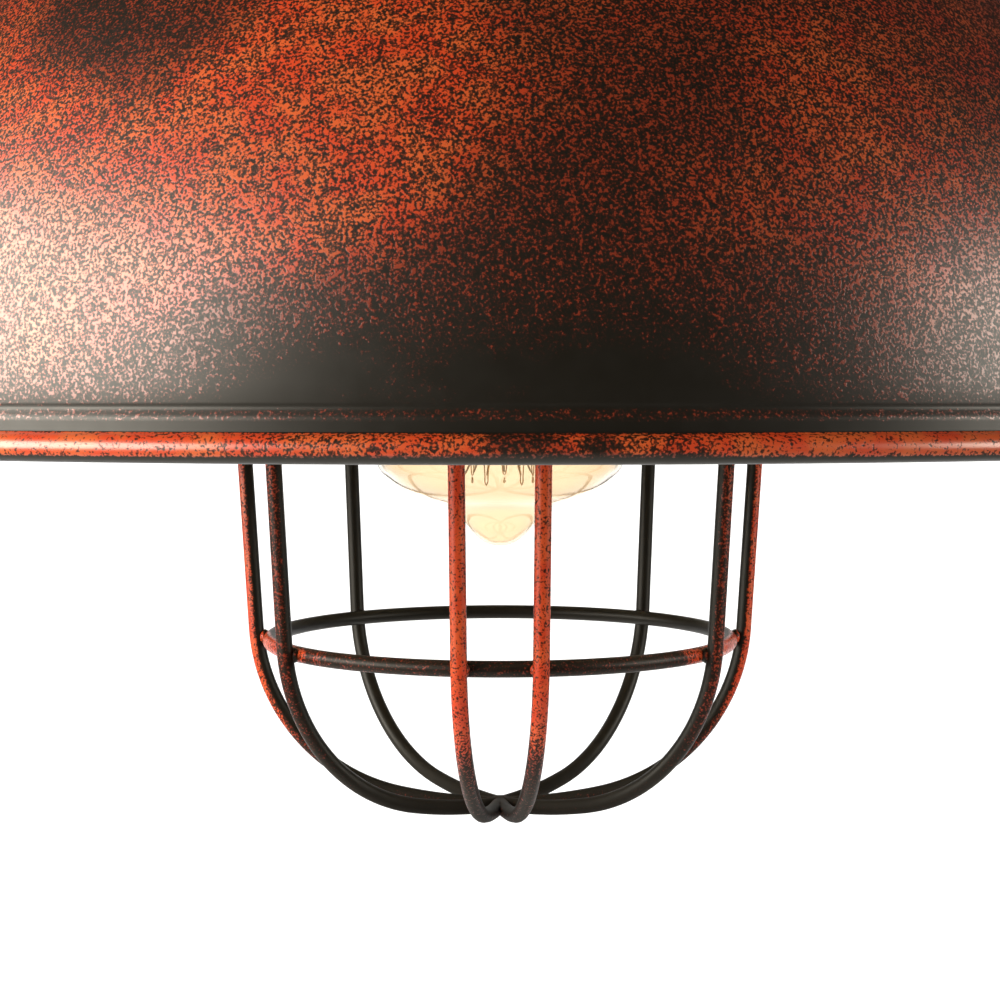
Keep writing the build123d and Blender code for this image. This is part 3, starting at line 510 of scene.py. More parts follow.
def plated_finish(name, bright, dull, gloss, metallic=1.0):
    """A metal with duller clouds in its surface, fine brushing and a little tarnish."""
    material, start = new_finish(name)
    clouds = start.noise(91, detail=4, roughness=0.6).between(0.35, 0.70)
    brushing = start.noise(1040, detail=2, stretch=(1, 1, 9))
    set_finish(
        material,
        start,
        Base_Color=(clouds * 0.5).mix(bright, dull),
        Metallic=metallic,
        Roughness=gloss + clouds * 0.14 + (brushing - 0.5) * 0.08,
        Normal=start.bump(brushing, 0.08, 0.02 * MM),
    )
    return material


def moulded_finish(name, main, other, gloss, peel, coat=0.0):
    """A moulded or glazed stuff with a fine orange peel and faint clouds of colour."""
    material, start = new_finish(name)
    clouds = start.noise(60, detail=4).between(0.35, 0.65)
    set_finish(
        material,
        start,
        Base_Color=clouds.mix(main, other),
        Roughness=gloss + (clouds - 0.5) * 0.08,
        Coat_Weight=coat,
        Normal=start.bump(start.noise(peel, detail=2), 0.12, 0.03 * MM),
    )
    return material


black_enamel = moulded_finish("black_enamel", colour(24, 24, 22), colour(33, 32, 28), 0.30, 500.0, 0.3)
zinc_steel = plated_finish("zinc_steel", colour(196, 197, 193), colour(150, 148, 140), 0.30)
plain_steel = plated_finish("plain_steel", colour(150, 148, 144), colour(96, 90, 84), 0.38)
black_nylon = moulded_finish("black_nylon", colour(27, 27, 28), colour(36, 36, 38), 0.42, 1500.0)
white_nylon = moulded_finish("white_nylon", colour(226, 224, 214), colour(214, 211, 198), 0.45, 1500.0)

cup_side = cup_top - CUP_CORNER
inner_corner = CUP_CORNER - CUP_SHEET
socket_cup = turned(
    "drawn_socket_cup",
    [(NIPPLE_HOLE, cup_top)]
    + arc((CUP_RADIUS - CUP_CORNER, cup_side), CUP_CORNER, 90, 0, 12)
    + arc((CUP_RADIUS + CUP_FOOT_BEND, crown_top + CUP_SHEET + CUP_FOOT_BEND), CUP_FOOT_BEND, 180, 270, 6)
    + arc((CUP_FLANGE - 0.5 * MM, crown_top + 0.6 * MM), 0.6 * MM, 90, -90, 8)
    + [(CUP_RADIUS - CUP_SHEET + 0.5 * MM, crown_top), (CUP_RADIUS - CUP_SHEET, crown_top + 0.5 * MM)]
    + arc((CUP_RADIUS - CUP_CORNER, cup_side), inner_corner, 0, 90, 10)
    + [(NIPPLE_HOLE, cup_top - CUP_SHEET)],
)
fitted(socket_cup, "lamp_shade_assembly", "black_enamel", black_enamel, "socket_cup")

NIPPLE_RADIUS = 5.0 * MM
NIPPLE_BORE = 3.9 * MM
NIPPLE_PITCH = 1.0 * MM


def threaded(piece, low, high, pitch, depth, fade=1.0):
    """Presses a right-hand thread of a depth into the piece's walls between two heights. It fades
    in and out over part of a pitch."""
    for vertex in piece.data.vertices:
        x, y, z = vertex.co
        radius = math.hypot(x, y)
        run_out = min(z - low, high - z) / (fade * pitch)
        if run_out > 0 and radius > 0:
            wave = (1 - math.cos(2 * math.pi * z / pitch - math.atan2(y, x))) / 2
            sunk = depth * wave * min(1, run_out)
            vertex.co = (x * (1 - sunk / radius), y * (1 - sunk / radius), z)
    return tidy_mesh(piece, 60)


def steps_between(low, high, pace):
    """Heights from low to high at an even pace, both ends among them."""
    count = max(1, round(abs(high - low) / pace))
    return [low + (high - low) * index / count for index in range(count + 1)]


nipple_low = rim_low + 130.5 * MM
nipple_high = rim_low + 199.0 * MM
thread_rows = steps_between(nipple_low + 0.4 * MM, nipple_high - 0.4 * MM, NIPPLE_PITCH / 5)
nipple = turned(
    "threaded_nipple",
    [(NIPPLE_BORE, nipple_low), (NIPPLE_RADIUS - 0.4 * MM, nipple_low)]
    + [(NIPPLE_RADIUS, row) for row in thread_rows]
    + [(NIPPLE_RADIUS - 0.4 * MM, nipple_high), (NIPPLE_BORE, nipple_high)],
    steps=40,
)
threaded(nipple, nipple_low + 0.5 * MM, nipple_high - 0.5 * MM, NIPPLE_PITCH, 0.45 * MM)
fitted(nipple, "lamp_shade_assembly", "zinc_steel", zinc_steel, "nipple_tube")


def hexagonal(piece, flats):
    """Cuts a turned piece down to a hexagon this far across its flats."""
    low = min(vertex.co.z for vertex in piece.data.vertices)
    high = max(vertex.co.z for vertex in piece.data.vertices)
    clear_selection()
    bpy.ops.mesh.primitive_cylinder_add(
        vertices=6,
        radius=flats / 2 / math.cos(math.pi / 6),
        depth=(high - low) * 2,
        location=(0, 0, (low + high) / 2),
        rotation=(0, 0, math.pi / 6),
    )
    prism = bpy.context.object
    cut = piece.modifiers.new("flats", "BOOLEAN")
    cut.operation = "INTERSECT"
    cut.solver = "EXACT"
    cut.object = prism
    apply_modifier(piece, cut)
    bpy.data.objects.remove(prism)
    return tidy_mesh(piece, 30)


def nut_outline(bore, corner, low, high, chamfer):
    """Outline of a nut before its flats are cut, chamfered at its bore and corners."""
    return [
        (bore, low + 0.4 * MM),
        (bore + 0.4 * MM, low),
        (corner - chamfer, low),
        (corner, low + chamfer * 0.55),
        (corner, high - chamfer * 0.55),
        (corner - chamfer, high),
        (bore + 0.4 * MM, high),
        (bore, high - 0.4 * MM),
    ]


NUT_FLATS = 17.0 * MM
NUT_BORE = NIPPLE_RADIUS + 0.02 * MM
NUT_CORNER = 9.8 * MM
NUT_CHAMFER = 1.5 * MM
for node in ("crown_nut", "gallery_nut"):
    nut_low, nut_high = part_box(node)[0].z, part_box(node)[1].z
    nut = turned("hex_" + node, nut_outline(NUT_BORE, NUT_CORNER, nut_low, nut_high, NUT_CHAMFER))
    hexagonal(nut, NUT_FLATS)
    fitted(nut, "lamp_shade_assembly", "zinc_steel", zinc_steel, node)

gland_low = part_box("gland_body")[0].z
gland_body = turned(
    "gland_body_with_spigot",
    [
        (NIPPLE_BORE, gland_low + 0.3 * MM),
        (NIPPLE_BORE + 0.3 * MM, gland_low),
        (7.4 * MM, gland_low),
        (8.1 * MM, gland_low + 0.5 * MM),
        (8.1 * MM, gland_low + 5.5 * MM),
        (7.4 * MM, gland_low + 6.0 * MM),
        (6.2 * MM, gland_low + 6.0 * MM),
        (6.2 * MM, gland_low + 12.2 * MM),
        (5.9 * MM, gland_low + 12.5 * MM),
        (NIPPLE_BORE, gland_low + 12.5 * MM),
    ],
)
hexagonal(gland_body, 14.0 * MM)
fitted(gland_body, "lamp_shade_assembly", "black_nylon", black_nylon, "gland_body")

CORD_HOLE = 3.4 * MM
nut_low = rim_low + 200.5 * MM
gland_nut = turned(
    "domed_gland_nut",
    [
        (6.25 * MM, nut_low),
        (8.6 * MM, nut_low),
        (9.24 * MM, nut_low + 0.6 * MM),
        (9.24 * MM, nut_low + 6.9 * MM),
        (8.4 * MM, nut_low + 7.5 * MM),
    ]
    + arc((4.6 * MM, -3.4 * MM), 3.4 * MM, 0, 90, 10)
    + [
        (CORD_HOLE + 0.5 * MM, 0),
        (CORD_HOLE + 0.14 * MM, -0.14 * MM),
        (CORD_HOLE, -0.5 * MM),
        (CORD_HOLE, -3.5 * MM),
        (6.25 * MM, -3.5 * MM),
    ],
)
hexagonal(gland_nut, 16.0 * MM)
fitted(gland_nut, "lamp_shade_assembly", "black_nylon", black_nylon, "gland_nut")


def refinish(finish, *nodes):
    """Gives CAD nodes whose shape stays a finish."""
    for node in nodes:
        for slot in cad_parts[node].material_slots:
            slot.material = finish


refinish(plain_steel, "rim_wire")
refinish(zinc_steel, "crown_washer", "gallery_washer")
refinish(white_nylon, "gland_collet")

# ---------------------------------------------------------------------------------------------
# Gallery and thumbscrews. The gallery is a spun steel ring in black enamel under the crown, with
# three welded bosses. In each turns an M4 thumbscrew with a fluted brass head, and a white nylon
# pad swivels on its nose and presses on the guard's collar.
# ---------------------------------------------------------------------------------------------
GALLERY_SHEET = 1.4 * MM
GALLERY_RADIUS = 45.0 * MM
GALLERY_CORNER = 2.4 * MM
gallery_low = rim_low + 121.0 * MM
THUMBSCREW_ANGLES = (90, 210, 330)
thumbscrew_level = rim_low + 131.0 * MM

gallery = turned(
    "spun_gallery",
    [(NIPPLE_HOLE, crown_bottom)]
    + arc((GALLERY_RADIUS - GALLERY_CORNER, crown_bottom - GALLERY_CORNER), GALLERY_CORNER, 90, 0, 6)
    + arc((GALLERY_RADIUS - 0.7 * MM, gallery_low + 0.7 * MM), 0.7 * MM, 0, -180, 10)
    + arc((GALLERY_RADIUS - GALLERY_CORNER, crown_bottom - GALLERY_CORNER), 1.0 * MM, 0, 90, 4)
    + [(NIPPLE_HOLE, crown_bottom - GALLERY_SHEET)],
    steps=128,
)


def moved(piece, along=(0, 0, 0), turn=(0, 0, 0)):
    """Turns the piece, moves it, and leaves its object at the origin."""
    piece.rotation_euler = turn
    piece.location = along
    select_only(piece)
    bpy.ops.object.transform_apply(location=True, rotation=True, scale=False)
    return piece


def another(piece, name):
    """A copy of the piece with its own mesh."""
    select_only(piece)
    bpy.ops.object.duplicate()
    copy = bpy.context.object
    copy.name = name
    copy.data.name = name
    return copy


def joined(first, *others):
    """The pieces as one mesh."""
    clear_selection()
    for piece in (first, *others):
        piece.select_set(True)
    bpy.context.view_layer.objects.active = first
    bpy.ops.object.join()
    return first


SIDEWAYS = (0, math.pi / 2, 0)
boss = turned(
    "boss",
    [
        (2.05 * MM, -43.9 * MM),
        (5.6 * MM, -43.9 * MM),
        (5.4 * MM, -45.2 * MM),
        (4.9 * MM, -45.6 * MM),
        (4.5 * MM, -46.1 * MM),
        (4.5 * MM, -47.2 * MM),
        (4.1 * MM, -47.6 * MM),
        (2.5 * MM, -47.6 * MM),
        (2.05 * MM, -47.2 * MM),
    ],
    steps=48,
)
moved(boss, (0, 0, thumbscrew_level), (0, -math.pi / 2, 0))
bosses = [
    moved(another(boss, "boss_at_screw"), turn=(0, 0, math.radians(angle)))
    for angle in THUMBSCREW_ANGLES
]
bpy.data.objects.remove(boss)
joined(gallery, *bosses)
fitted(gallery, "lamp_shade_assembly", "black_enamel", black_enamel, "gallery")

STUD_RADIUS = 2.0 * MM
STUD_PITCH = 0.7 * MM
stud_rows = steps_between(42.6 * MM, 59.6 * MM, STUD_PITCH / 6)
stud = turned(
    "stud",
    [(0, 41.3 * MM), (1.0 * MM, 41.3 * MM), (1.2 * MM, 41.5 * MM), (1.2 * MM, 42.25 * MM)]
    + [(1.6 * MM, 42.25 * MM)]
    + [(STUD_RADIUS, row) for row in stud_rows]
    + [(1.6 * MM, 60.0 * MM), (0, 60.0 * MM)],
    steps=28,
)
threaded(stud, 42.7 * MM, 59.5 * MM, STUD_PITCH, 0.38 * MM)
moved(stud, (0, 0, thumbscrew_level), SIDEWAYS)

pad = turned(
    "pad",
    [
        (0, 40.6 * MM),
        (2.6 * MM, 40.6 * MM),
        (2.9 * MM, 40.75 * MM),
        (3.0 * MM, 41.1 * MM),
        (3.0 * MM, 41.8 * MM),
        (2.7 * MM, 42.2 * MM),
        (1.25 * MM, 42.2 * MM),
        (1.25 * MM, 41.2 * MM),
        (0, 41.2 * MM),
    ],
    steps=48,
)
moved(pad, (0, 0, thumbscrew_level), SIDEWAYS)

KNOB_RADIUS = 6.0 * MM
KNOB_FLUTES = 18
KNOB_INNER = 50.5 * MM
KNOB_LENGTH = 8.0 * MM


def knob_edge(turn):
    """Distance of the knob's fluted edge from its axis at a turn in degrees."""
    wave = math.cos(math.radians(turn * KNOB_FLUTES))
    return KNOB_RADIUS - 0.45 * MM * max(0, wave) ** 0.7


knob_points = []
for turn in range(0, 360, 2):
    reach = knob_edge(turn)
    knob_points.append(
        (reach * math.cos(math.radians(turn)), reach * math.sin(math.radians(turn)), KNOB_INNER)
    )
knob = drawn_line("knob", [*knob_points, knob_points[0]])
bpy.ops.mesh.remove_doubles(threshold=0.002 * MM)
bpy.ops.mesh.edge_face_add()
bpy.ops.mesh.inset(thickness=0.5 * MM)
bpy.ops.mesh.select_all(action="SELECT")
bpy.ops.mesh.extrude_region_move(TRANSFORM_OT_translate={"value": (0, 0, KNOB_LENGTH)})
tidy_mesh(knob, 50)
for vertex in knob.data.vertices:
    # the rims of the two end faces are chamfered
    radius = math.hypot(vertex.co.x, vertex.co.y)
    inward = 1 if vertex.co.z < KNOB_INNER + KNOB_LENGTH / 2 else -1
    if radius > KNOB_RADIUS - 0.5 * MM:
        vertex.co.z += inward * 0.45 * MM
moved(knob, (0, 0, thumbscrew_level), SIDEWAYS)

brass = plated_finish("brass", colour(206, 170, 96), colour(150, 112, 56), 0.28)
for number, angle in enumerate(THUMBSCREW_ANGLES, start=1):
    turn = (0, 0, math.radians(angle))
    for model, part, slot, finish in (
        (stud, "stud", "zinc_steel", zinc_steel),
        (knob, "knob", "brass", brass),
        (pad, "pad", "white_nylon", white_nylon),
    ):
        copy = moved(another(model, f"{part}_of_thumbscrew_{number}"), turn=turn)
        body = f"thumbscrew_pad_{number}" if part == "pad" else f"thumbscrew_{number}"
        fitted(copy, body, slot, finish, f"thumbscrew_{part}_{number}")
for model in (stud, knob, pad):
    bpy.data.objects.remove(model)

# ---------------------------------------------------------------------------------------------
# Guard. Eight steel wires hang from a collar, flare out, fall past the lamp and meet under it,
# with one hoop welded inside them. The wires and hoop are black with red sprayed on from
# outside, so the red is on the faces that look away from the lamp. Little red on the faces that
# look down and low in the bowl paints shade there.
# ---------------------------------------------------------------------------------------------
WIRE_RADIUS = 1.9 * MM
WELD_GAP = 0.05 * MM
COLLAR_RADIUS = 40.5 * MM
COLLAR_SHEET = 1.2 * MM
RIB_ANGLES = (8.5, 54.7, 90.6, 139.9, -139.9, -90.6, -54.7, -8.5)
RIB_TOP = rim_low + 139.0 * MM
RIB_NECK = rim_low + 113.0 * MM
RIB_SHOULDER = rim_low + 22.0 * MM
WALL_END = rim_low - 46.5 * MM
WALL_RADIUS = 61.3 * MM
WALL_TILT = 3.45
RIB_BEND = 60.0 * MM
BOWL_RADIUS = 45.5 * MM
BOWL_TURN = 78.0
hoop_level = rim_low - 48.65 * MM

tilt = math.radians(WALL_TILT)
turn_out = math.radians(BOWL_TURN)
neck_radius = COLLAR_RADIUS - COLLAR_SHEET - WIRE_RADIUS - WELD_GAP
shoulder_radius = WALL_RADIUS + (RIB_SHOULDER - WALL_END) * math.tan(tilt)
bowl_centre = (WALL_RADIUS - BOWL_RADIUS * math.cos(tilt), WALL_END + BOWL_RADIUS * math.sin(tilt))
floor_radius = BOWL_RADIUS + bowl_centre[0] / math.cos(turn_out)
pole_level = bowl_centre[1] + bowl_centre[0] * math.tan(turn_out) - floor_radius


def bend_at(before, corner, after, radius):
    """Points of the round bend that joins two straight runs of wire at a corner."""
    corner = Vector(corner)
    run_in = (Vector(before) - corner).normalized()
    run_out = (Vector(after) - corner).normalized()
    half = run_in.angle(run_out) / 2
    centre = corner + (run_in + run_out).normalized() * (radius / math.sin(half))
    first = corner + run_in * (radius / math.tan(half)) - centre
    last = corner + run_out * (radius / math.tan(half)) - centre
    start_turn = math.degrees(math.atan2(first.y, first.x))
    sweep = (math.degrees(math.atan2(last.y, last.x)) - start_turn + 180) % 360 - 180
    return arc(centre, radius, start_turn, start_turn + sweep, 12)


def bent_wire(name, points, radius, sides):
    """A round wire bent along a line of points."""
    select_only(drawn_line(name, points))
    bpy.ops.object.convert(target="CURVE")
    piece = bpy.context.object
    piece.data.bevel_depth = radius
    piece.data.bevel_resolution = sides
    piece.data.use_fill_caps = True
    bpy.ops.object.convert(target="MESH")
    piece = bpy.context.object
    piece.name = name
    piece.data.name = name
    return tidy_mesh(piece, 50)


rib_line = (
    [(neck_radius, RIB_TOP)]
    + bend_at((neck_radius, RIB_TOP), (neck_radius, RIB_NECK), (shoulder_radius, RIB_SHOULDER), RIB_BEND)
    + bend_at((neck_radius, RIB_NECK), (shoulder_radius, RIB_SHOULDER), (WALL_RADIUS, WALL_END), RIB_BEND)
    + arc(bowl_centre, BOWL_RADIUS, -WALL_TILT, -BOWL_TURN, 30)
    + arc((0, pole_level + floor_radius), floor_radius, -BOWL_TURN, -91.5, 10)[1:]
)
rib = bent_wire("rib", [(0, -radius, height) for radius, height in rib_line], WIRE_RADIUS, 6)


def guard_cover(start):
    """The spray on the guard: thick in front and at the sides, none on faces that look inwards.
    Little red on faces that look down and low in the bowl paints shade there.
    """
    clouds = start.noise(45, detail=3).between(0.3, 0.7)
    facing = start.outwards().between(-0.1, 0.9)
    sideways = start.maths("ABSOLUTE", start.node("SeparateXYZ", {0: start.away()}, output=0))
    sprayed_sides = 1 - sideways.between(0.35, 0.55) * (1 - sideways.between(0.88, 0.97)) * 0.93
    sprayed_front = 1 - start.axis(1).between(6 * MM, 26 * MM)
    # Faces that look down get little red: painted shade on the undersides of the wires.
    painted_shade_below = 1 - (-1 * start.facing(2)).between(0.1, 0.8) * 0.85
    # From the hoop down towards the pole the red fades out: painted shade on the bottom of the guard.
    bowl = start.axis(2).between(rim_low - 80 * MM, rim_low - 44 * MM) * 0.95 + 0.05
    return facing * painted_shade_below * bowl * sprayed_sides * sprayed_front * (4 + clouds * 7)


def hoop_cover(start):
    """The spray on the hoop, which the wires stand in front of: patchy, and thick at the sides."""
    patches = start.noise(36, detail=3).between(0.50, 0.64)
    ends = start.maths("ABSOLUTE", start.axis(0)).between(44 * MM, 52 * MM)
    front = 1 - start.axis(1).between(-20 * MM, 6 * MM)
    return start.outwards().between(-0.2, 0.6) * front * (0.06 + patches * 2.2 + ends * 5)


GUARD_REDS = (colour(140, 44, 18), colour(206, 64, 26), colour(214, 86, 40))
guard_finish = sprayed_finish("sprayed_guard_with_painted_shade", guard_cover, 0.46, 0.28, GUARD_REDS, rim_low - 92 * MM)
hoop_finish = sprayed_finish("sprayed_hoop", hoop_cover, 0.46, 0.28, GUARD_REDS)


def from_front(angle, radius=1.0, height=0.0):
    """Point at an angle from the front, towards the left, as X, Y, Z."""
    turn = math.radians(angle)
    return (-radius * math.sin(turn), -radius * math.cos(turn), height)


for number, angle in enumerate(RIB_ANGLES, start=1):
    before = RIB_ANGLES[number - 2]
    after = RIB_ANGLES[number % len(RIB_ANGLES)]
    wire = moved(another(rib, f"guard_wire_{number}"), turn=(0, 0, -math.radians(angle)))
    bpy.ops.object.mode_set(mode="EDIT")
    for side in (
        from_front(angle - ((angle - before) % 360) / 2 + 90),
        from_front(angle + ((after - angle) % 360) / 2 - 90),
    ):
        bpy.ops.mesh.select_all(action="SELECT")
        bpy.ops.mesh.bisect(plane_co=(0, 0, 0), plane_no=side, use_fill=True, clear_inner=True)
    bpy.ops.object.mode_set(mode="OBJECT")
    tidy_mesh(wire, 50)
    fitted(wire, "guard", "guard_finish", guard_finish, f"guard_rib_{number}")
bpy.data.objects.remove(rib)

hoop_reach = BOWL_RADIUS - 2 * WIRE_RADIUS - WELD_GAP
hoop_turn = math.asin((bowl_centre[1] - hoop_level) / hoop_reach)
hoop_radius = bowl_centre[0] + hoop_reach * math.cos(hoop_turn)
hoop = turned("guard_hoop_wire", arc((hoop_radius, hoop_level), WIRE_RADIUS, 0, 337.5, 15), 192, 60)
fitted(hoop, "guard", "guard_finish", hoop_finish, "guard_hoop")

collar_low, collar_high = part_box("guard_collar")[0].z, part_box("guard_collar")[1].z
collar = turned(
    "guard_collar_band",
    arc((COLLAR_RADIUS - 0.6 * MM, collar_high - 0.6 * MM), 0.6 * MM, 180, 0, 8)
    + arc((COLLAR_RADIUS - 0.6 * MM, collar_low + 0.6 * MM), 0.6 * MM, 0, -180, 8),
    steps=128,
)
fitted(collar, "guard", "black_enamel", black_enamel, "guard_collar")

weld_reach = BOWL_RADIUS - WIRE_RADIUS
weld_radius = bowl_centre[0] + weld_reach * math.cos(hoop_turn)
NECK_WELD = rim_low + 120.5 * MM


def weld_bead(size, seed):
    """A lump of weld metal, of half sizes in mm, left a little uneven."""
    clear_selection()
    bpy.ops.mesh.primitive_ico_sphere_add(subdivisions=3, radius=MM)
    bead = bpy.context.object
    bpy.ops.object.mode_set(mode="EDIT")
    bpy.ops.mesh.select_all(action="SELECT")
    bpy.ops.transform.resize(value=size)
    bpy.ops.transform.vertex_random(offset=0.16 * MM, seed=seed)
    bpy.ops.mesh.vertices_smooth(factor=0.5, repeat=2)
    bpy.ops.object.mode_set(mode="OBJECT")
    return bead


welds = []
for number, angle in enumerate(RIB_ANGLES, start=1):
    for place, size in (
        (from_front(angle, weld_radius, hoop_level), (2.3, 1.5, 2.0)),
        (from_front(angle, neck_radius + 1.2 * MM, NECK_WELD), (2.2, 1.4, 3.0)),
    ):
        welds.append(moved(weld_bead(size, number), place, (0, 0, -math.radians(angle))))
welds.append(moved(weld_bead((4.6, 4.6, 1.9), 40), (0, 0, pole_level + 0.2 * MM)))
joined(welds[0], *welds[1:])
welds[0].name = "guard_welds"
tidy_mesh(welds[0], 70)
fitted(welds[0], "guard", "guard_finish", guard_finish)

# ---------------------------------------------------------------------------------------------
# Lampholder. Glazed white porcelain under a plated steel cap, held by two long screws. Inside
# are a rolled brass screw shell, a bronze centre contact, rivets and two brass terminals.
# ---------------------------------------------------------------------------------------------
HOLDER_RADIUS = 20.0 * MM
CAVITY_RADIUS = 14.0 * MM
holder_low = rim_low + 86.0 * MM
cavity_top = rim_low + 117.0 * MM
porcelain_top = rim_low + 122.0 * MM
LAMP_PITCH = 3.629 * MM
THREAD_DEPTH = 0.9 * MM

porcelain_finish = moulded_finish(
    "glazed_porcelain", colour(238, 236, 228), colour(229, 226, 214), 0.12, 350.0, 0.5
)
porcelain = turned(
    "porcelain_holder",
    [(0, porcelain_top), (HOLDER_RADIUS - 0.5 * MM, porcelain_top)]
    + [(HOLDER_RADIUS, porcelain_top - 0.5 * MM)]
    + arc((HOLDER_RADIUS - 2 * MM, holder_low + 2 * MM), 2 * MM, 0, -90, 10)
    + arc((CAVITY_RADIUS + 0.8 * MM, holder_low + 0.8 * MM), 0.8 * MM, -90, -180, 6)
    + [(CAVITY_RADIUS, cavity_top - 0.6 * MM), (CAVITY_RADIUS - 0.6 * MM, cavity_top), (0, cavity_top)],
)
fitted(porcelain, "lamp_shade_assembly", "porcelain", porcelain_finish, "porcelain_body")

hub_top = rim_low + 131.2 * MM
HUB_SHEET = 1.2 * MM
holder_cap = turned(
    "lampholder_cap",
    [(NIPPLE_RADIUS, hub_top - HUB_SHEET)]
    + arc((HOLDER_RADIUS - 2.5 * MM, hub_top - 2.5 * MM), 1.3 * MM, 90, 0, 6)
    + [(HOLDER_RADIUS - HUB_SHEET, porcelain_top), (HOLDER_RADIUS, porcelain_top)]
    + arc((HOLDER_RADIUS - 2.5 * MM, hub_top - 2.5 * MM), 2.5 * MM, 0, 90, 10)
    + arc((9.0 * MM, hub_top + 1.0 * MM), 1.0 * MM, 270, 180, 5)
    + [(8.0 * MM, rim_low + 136.5 * MM), (7.5 * MM, rim_low + 137.0 * MM)]
    + [(NIPPLE_RADIUS, rim_low + 137.0 * MM)],
)
fitted(holder_cap, "lamp_shade_assembly", "zinc_steel", zinc_steel, "holder_cap")


def slotted_screws(name, places, tip, seat, shank, head, rise, slot_across):
    """Round-headed screws with a driver slot, standing at places on their seat, as one piece."""
    screw = turned(
        name,
        [(0, tip), (shank - 0.3 * MM, tip), (shank, tip + 0.4 * MM), (shank, seat), (head, seat)]
        + [(head, seat + rise * 0.35)]
        + [
            (
                head * math.cos(math.radians(turn)),
                seat + rise * (0.35 + 0.65 * math.sin(math.radians(turn))),
            )
            for turn in (20, 40, 60, 78)
        ]
        + [(0, seat + rise)],
        steps=40,
    )
    clear_selection()
    bpy.ops.mesh.primitive_cube_add(size=1, location=(0, 0, seat + rise))
    cutter = bpy.context.object
    cutter.scale = (4 * head, 0.7 * MM, 1.6 * MM) if slot_across else (0.7 * MM, 4 * head, 1.6 * MM)
    cut = screw.modifiers.new("driver_slot", "BOOLEAN")
    cut.operation = "DIFFERENCE"
    cut.solver = "EXACT"
    cut.object = cutter
    apply_modifier(screw, cut)
    bpy.data.objects.remove(cutter)
    copies = [moved(another(screw, name), (*place, 0)) for place in places[1:]]
    moved(screw, (*places[0], 0))
    if copies:
        joined(screw, *copies)
    return tidy_mesh(screw, 35)


body_screws = slotted_screws(
    "cap_screws",
    places=((-17 * MM, 0), (17 * MM, 0)),
    tip=rim_low + 108 * MM,
    seat=hub_top,
    shank=1.5 * MM,
    head=2.6 * MM,
    rise=1.8 * MM,
    slot_across=False,
)
fitted(body_screws, "lamp_shade_assembly", "zinc_steel", zinc_steel, "body_screws")
terminal_screws = slotted_screws(
    "wire_screws",
    places=((0, -11 * MM), (0, 11 * MM)),
    tip=rim_low + 118.6 * MM,
    seat=porcelain_top + 0.8 * MM,
    shank=1.5 * MM,
    head=2.8 * MM,
    rise=2.0 * MM,
    slot_across=True,
)
fitted(terminal_screws, "lamp_shade_assembly", "brass", brass, "terminal_screws")

for node, place, seat, head in (
    ("contact_rivet", (0, -8 * MM), cavity_top - 0.45 * MM, 1.7 * MM),
    ("shell_rivet", (8.6 * MM, 8.6 * MM), cavity_top - 0.5 * MM, 1.2 * MM),
):
    rivet = turned(
        "domed_" + node,
        [(0, seat - 0.6 * MM), (head * 0.5, seat - 0.55 * MM), (head * 0.85, seat - 0.35 * MM)]
        + [(head, seat), (1.0 * MM, seat), (1.0 * MM, porcelain_top), (0, porcelain_top)],
        steps=32,
    )
    moved(rivet, (*place, 0))
    fitted(rivet, "lamp_shade_assembly", "brass", brass, node)

nickel_brass = plated_finish("nickel_brass", colour(205, 200, 186), colour(170, 158, 130), 0.22)
SHELL_OUTER = 13.8 * MM
SHELL_INNER = 13.4 * MM
SHELL_FLOOR_HOLE = 10.5 * MM
THREAD_ROWS = 0.3 * MM
THREAD_FADE = 0.4
shell_low = rim_low + 90.0 * MM
shell_floor = rim_low + 116.5 * MM
screw_shell = turned(
    "rolled_screw_shell",
    [(SHELL_OUTER, row) for row in steps_between(shell_low, cavity_top, THREAD_ROWS)]
    + [(SHELL_FLOOR_HOLE, cavity_top), (SHELL_FLOOR_HOLE, shell_floor), (SHELL_INNER, shell_floor)]
    + [(SHELL_INNER, row) for row in steps_between(shell_floor - THREAD_ROWS, shell_low, THREAD_ROWS)],
    steps=96,
)
threaded(screw_shell, rim_low + 93.2 * MM, shell_floor - 0.6 * MM, LAMP_PITCH, THREAD_DEPTH, THREAD_FADE)
fitted(screw_shell, "lamp_shade_assembly", "nickel_brass", nickel_brass, "screw_shell")

bronze = plated_finish("spring_bronze", colour(196, 148, 96), colour(150, 104, 62), 0.26)
refinish(bronze, "centre_contact")
refinish(brass, "line_terminal", "neutral_terminal")

# ---------------------------------------------------------------------------------------------
# Lamp. A blown amber glass with a sealed tip, a rolled cap with a black glass insulator and a
# solder contact, and inside it a glass stem, support wires and a long zigzag filament.
# ---------------------------------------------------------------------------------------------
ENVELOPE = (
    (12.6, 92.0),
    (12.7, 86.0),
    (15.0, 72.0),
    (20.0, 55.0),
    (26.3, 38.0),
    (30.7, 22.0),
    (32.0, 7.0),
    (30.9, -4.5),
    (27.6, -9.0),
    (22.0, -12.9),
    (15.0, -15.7),
    (10.3, -18.9),
    (7.2, -22.2),
    (3.6, -24.9),
    (0.0, -25.7),
)
GLASS = 0.8 * MM


def blown(points, parts=5):
    """A smooth line through the points, which ends square to the axis."""
    ends = (2 * points[0][0] - points[1][0], 2 * points[0][1] - points[1][1])
    mirrored = (-points[-2][0], points[-2][1])
    knots = [ends, *points, mirrored]
    line = []
    for a, b, c, d in zip(knots, knots[1:], knots[2:], knots[3:]):
        for index in range(parts):
            t = index / parts
            line.append(
                tuple(
                    0.5
                    * (
                        2 * b[axis]
                        + (c[axis] - a[axis]) * t
                        + (2 * a[axis] - 5 * b[axis] + 4 * c[axis] - d[axis]) * t**2
                        + (3 * b[axis] - a[axis] - 3 * c[axis] + d[axis]) * t**3
                    )
                    for axis in (0, 1)
                )
            )
    return [*line, points[-1]]


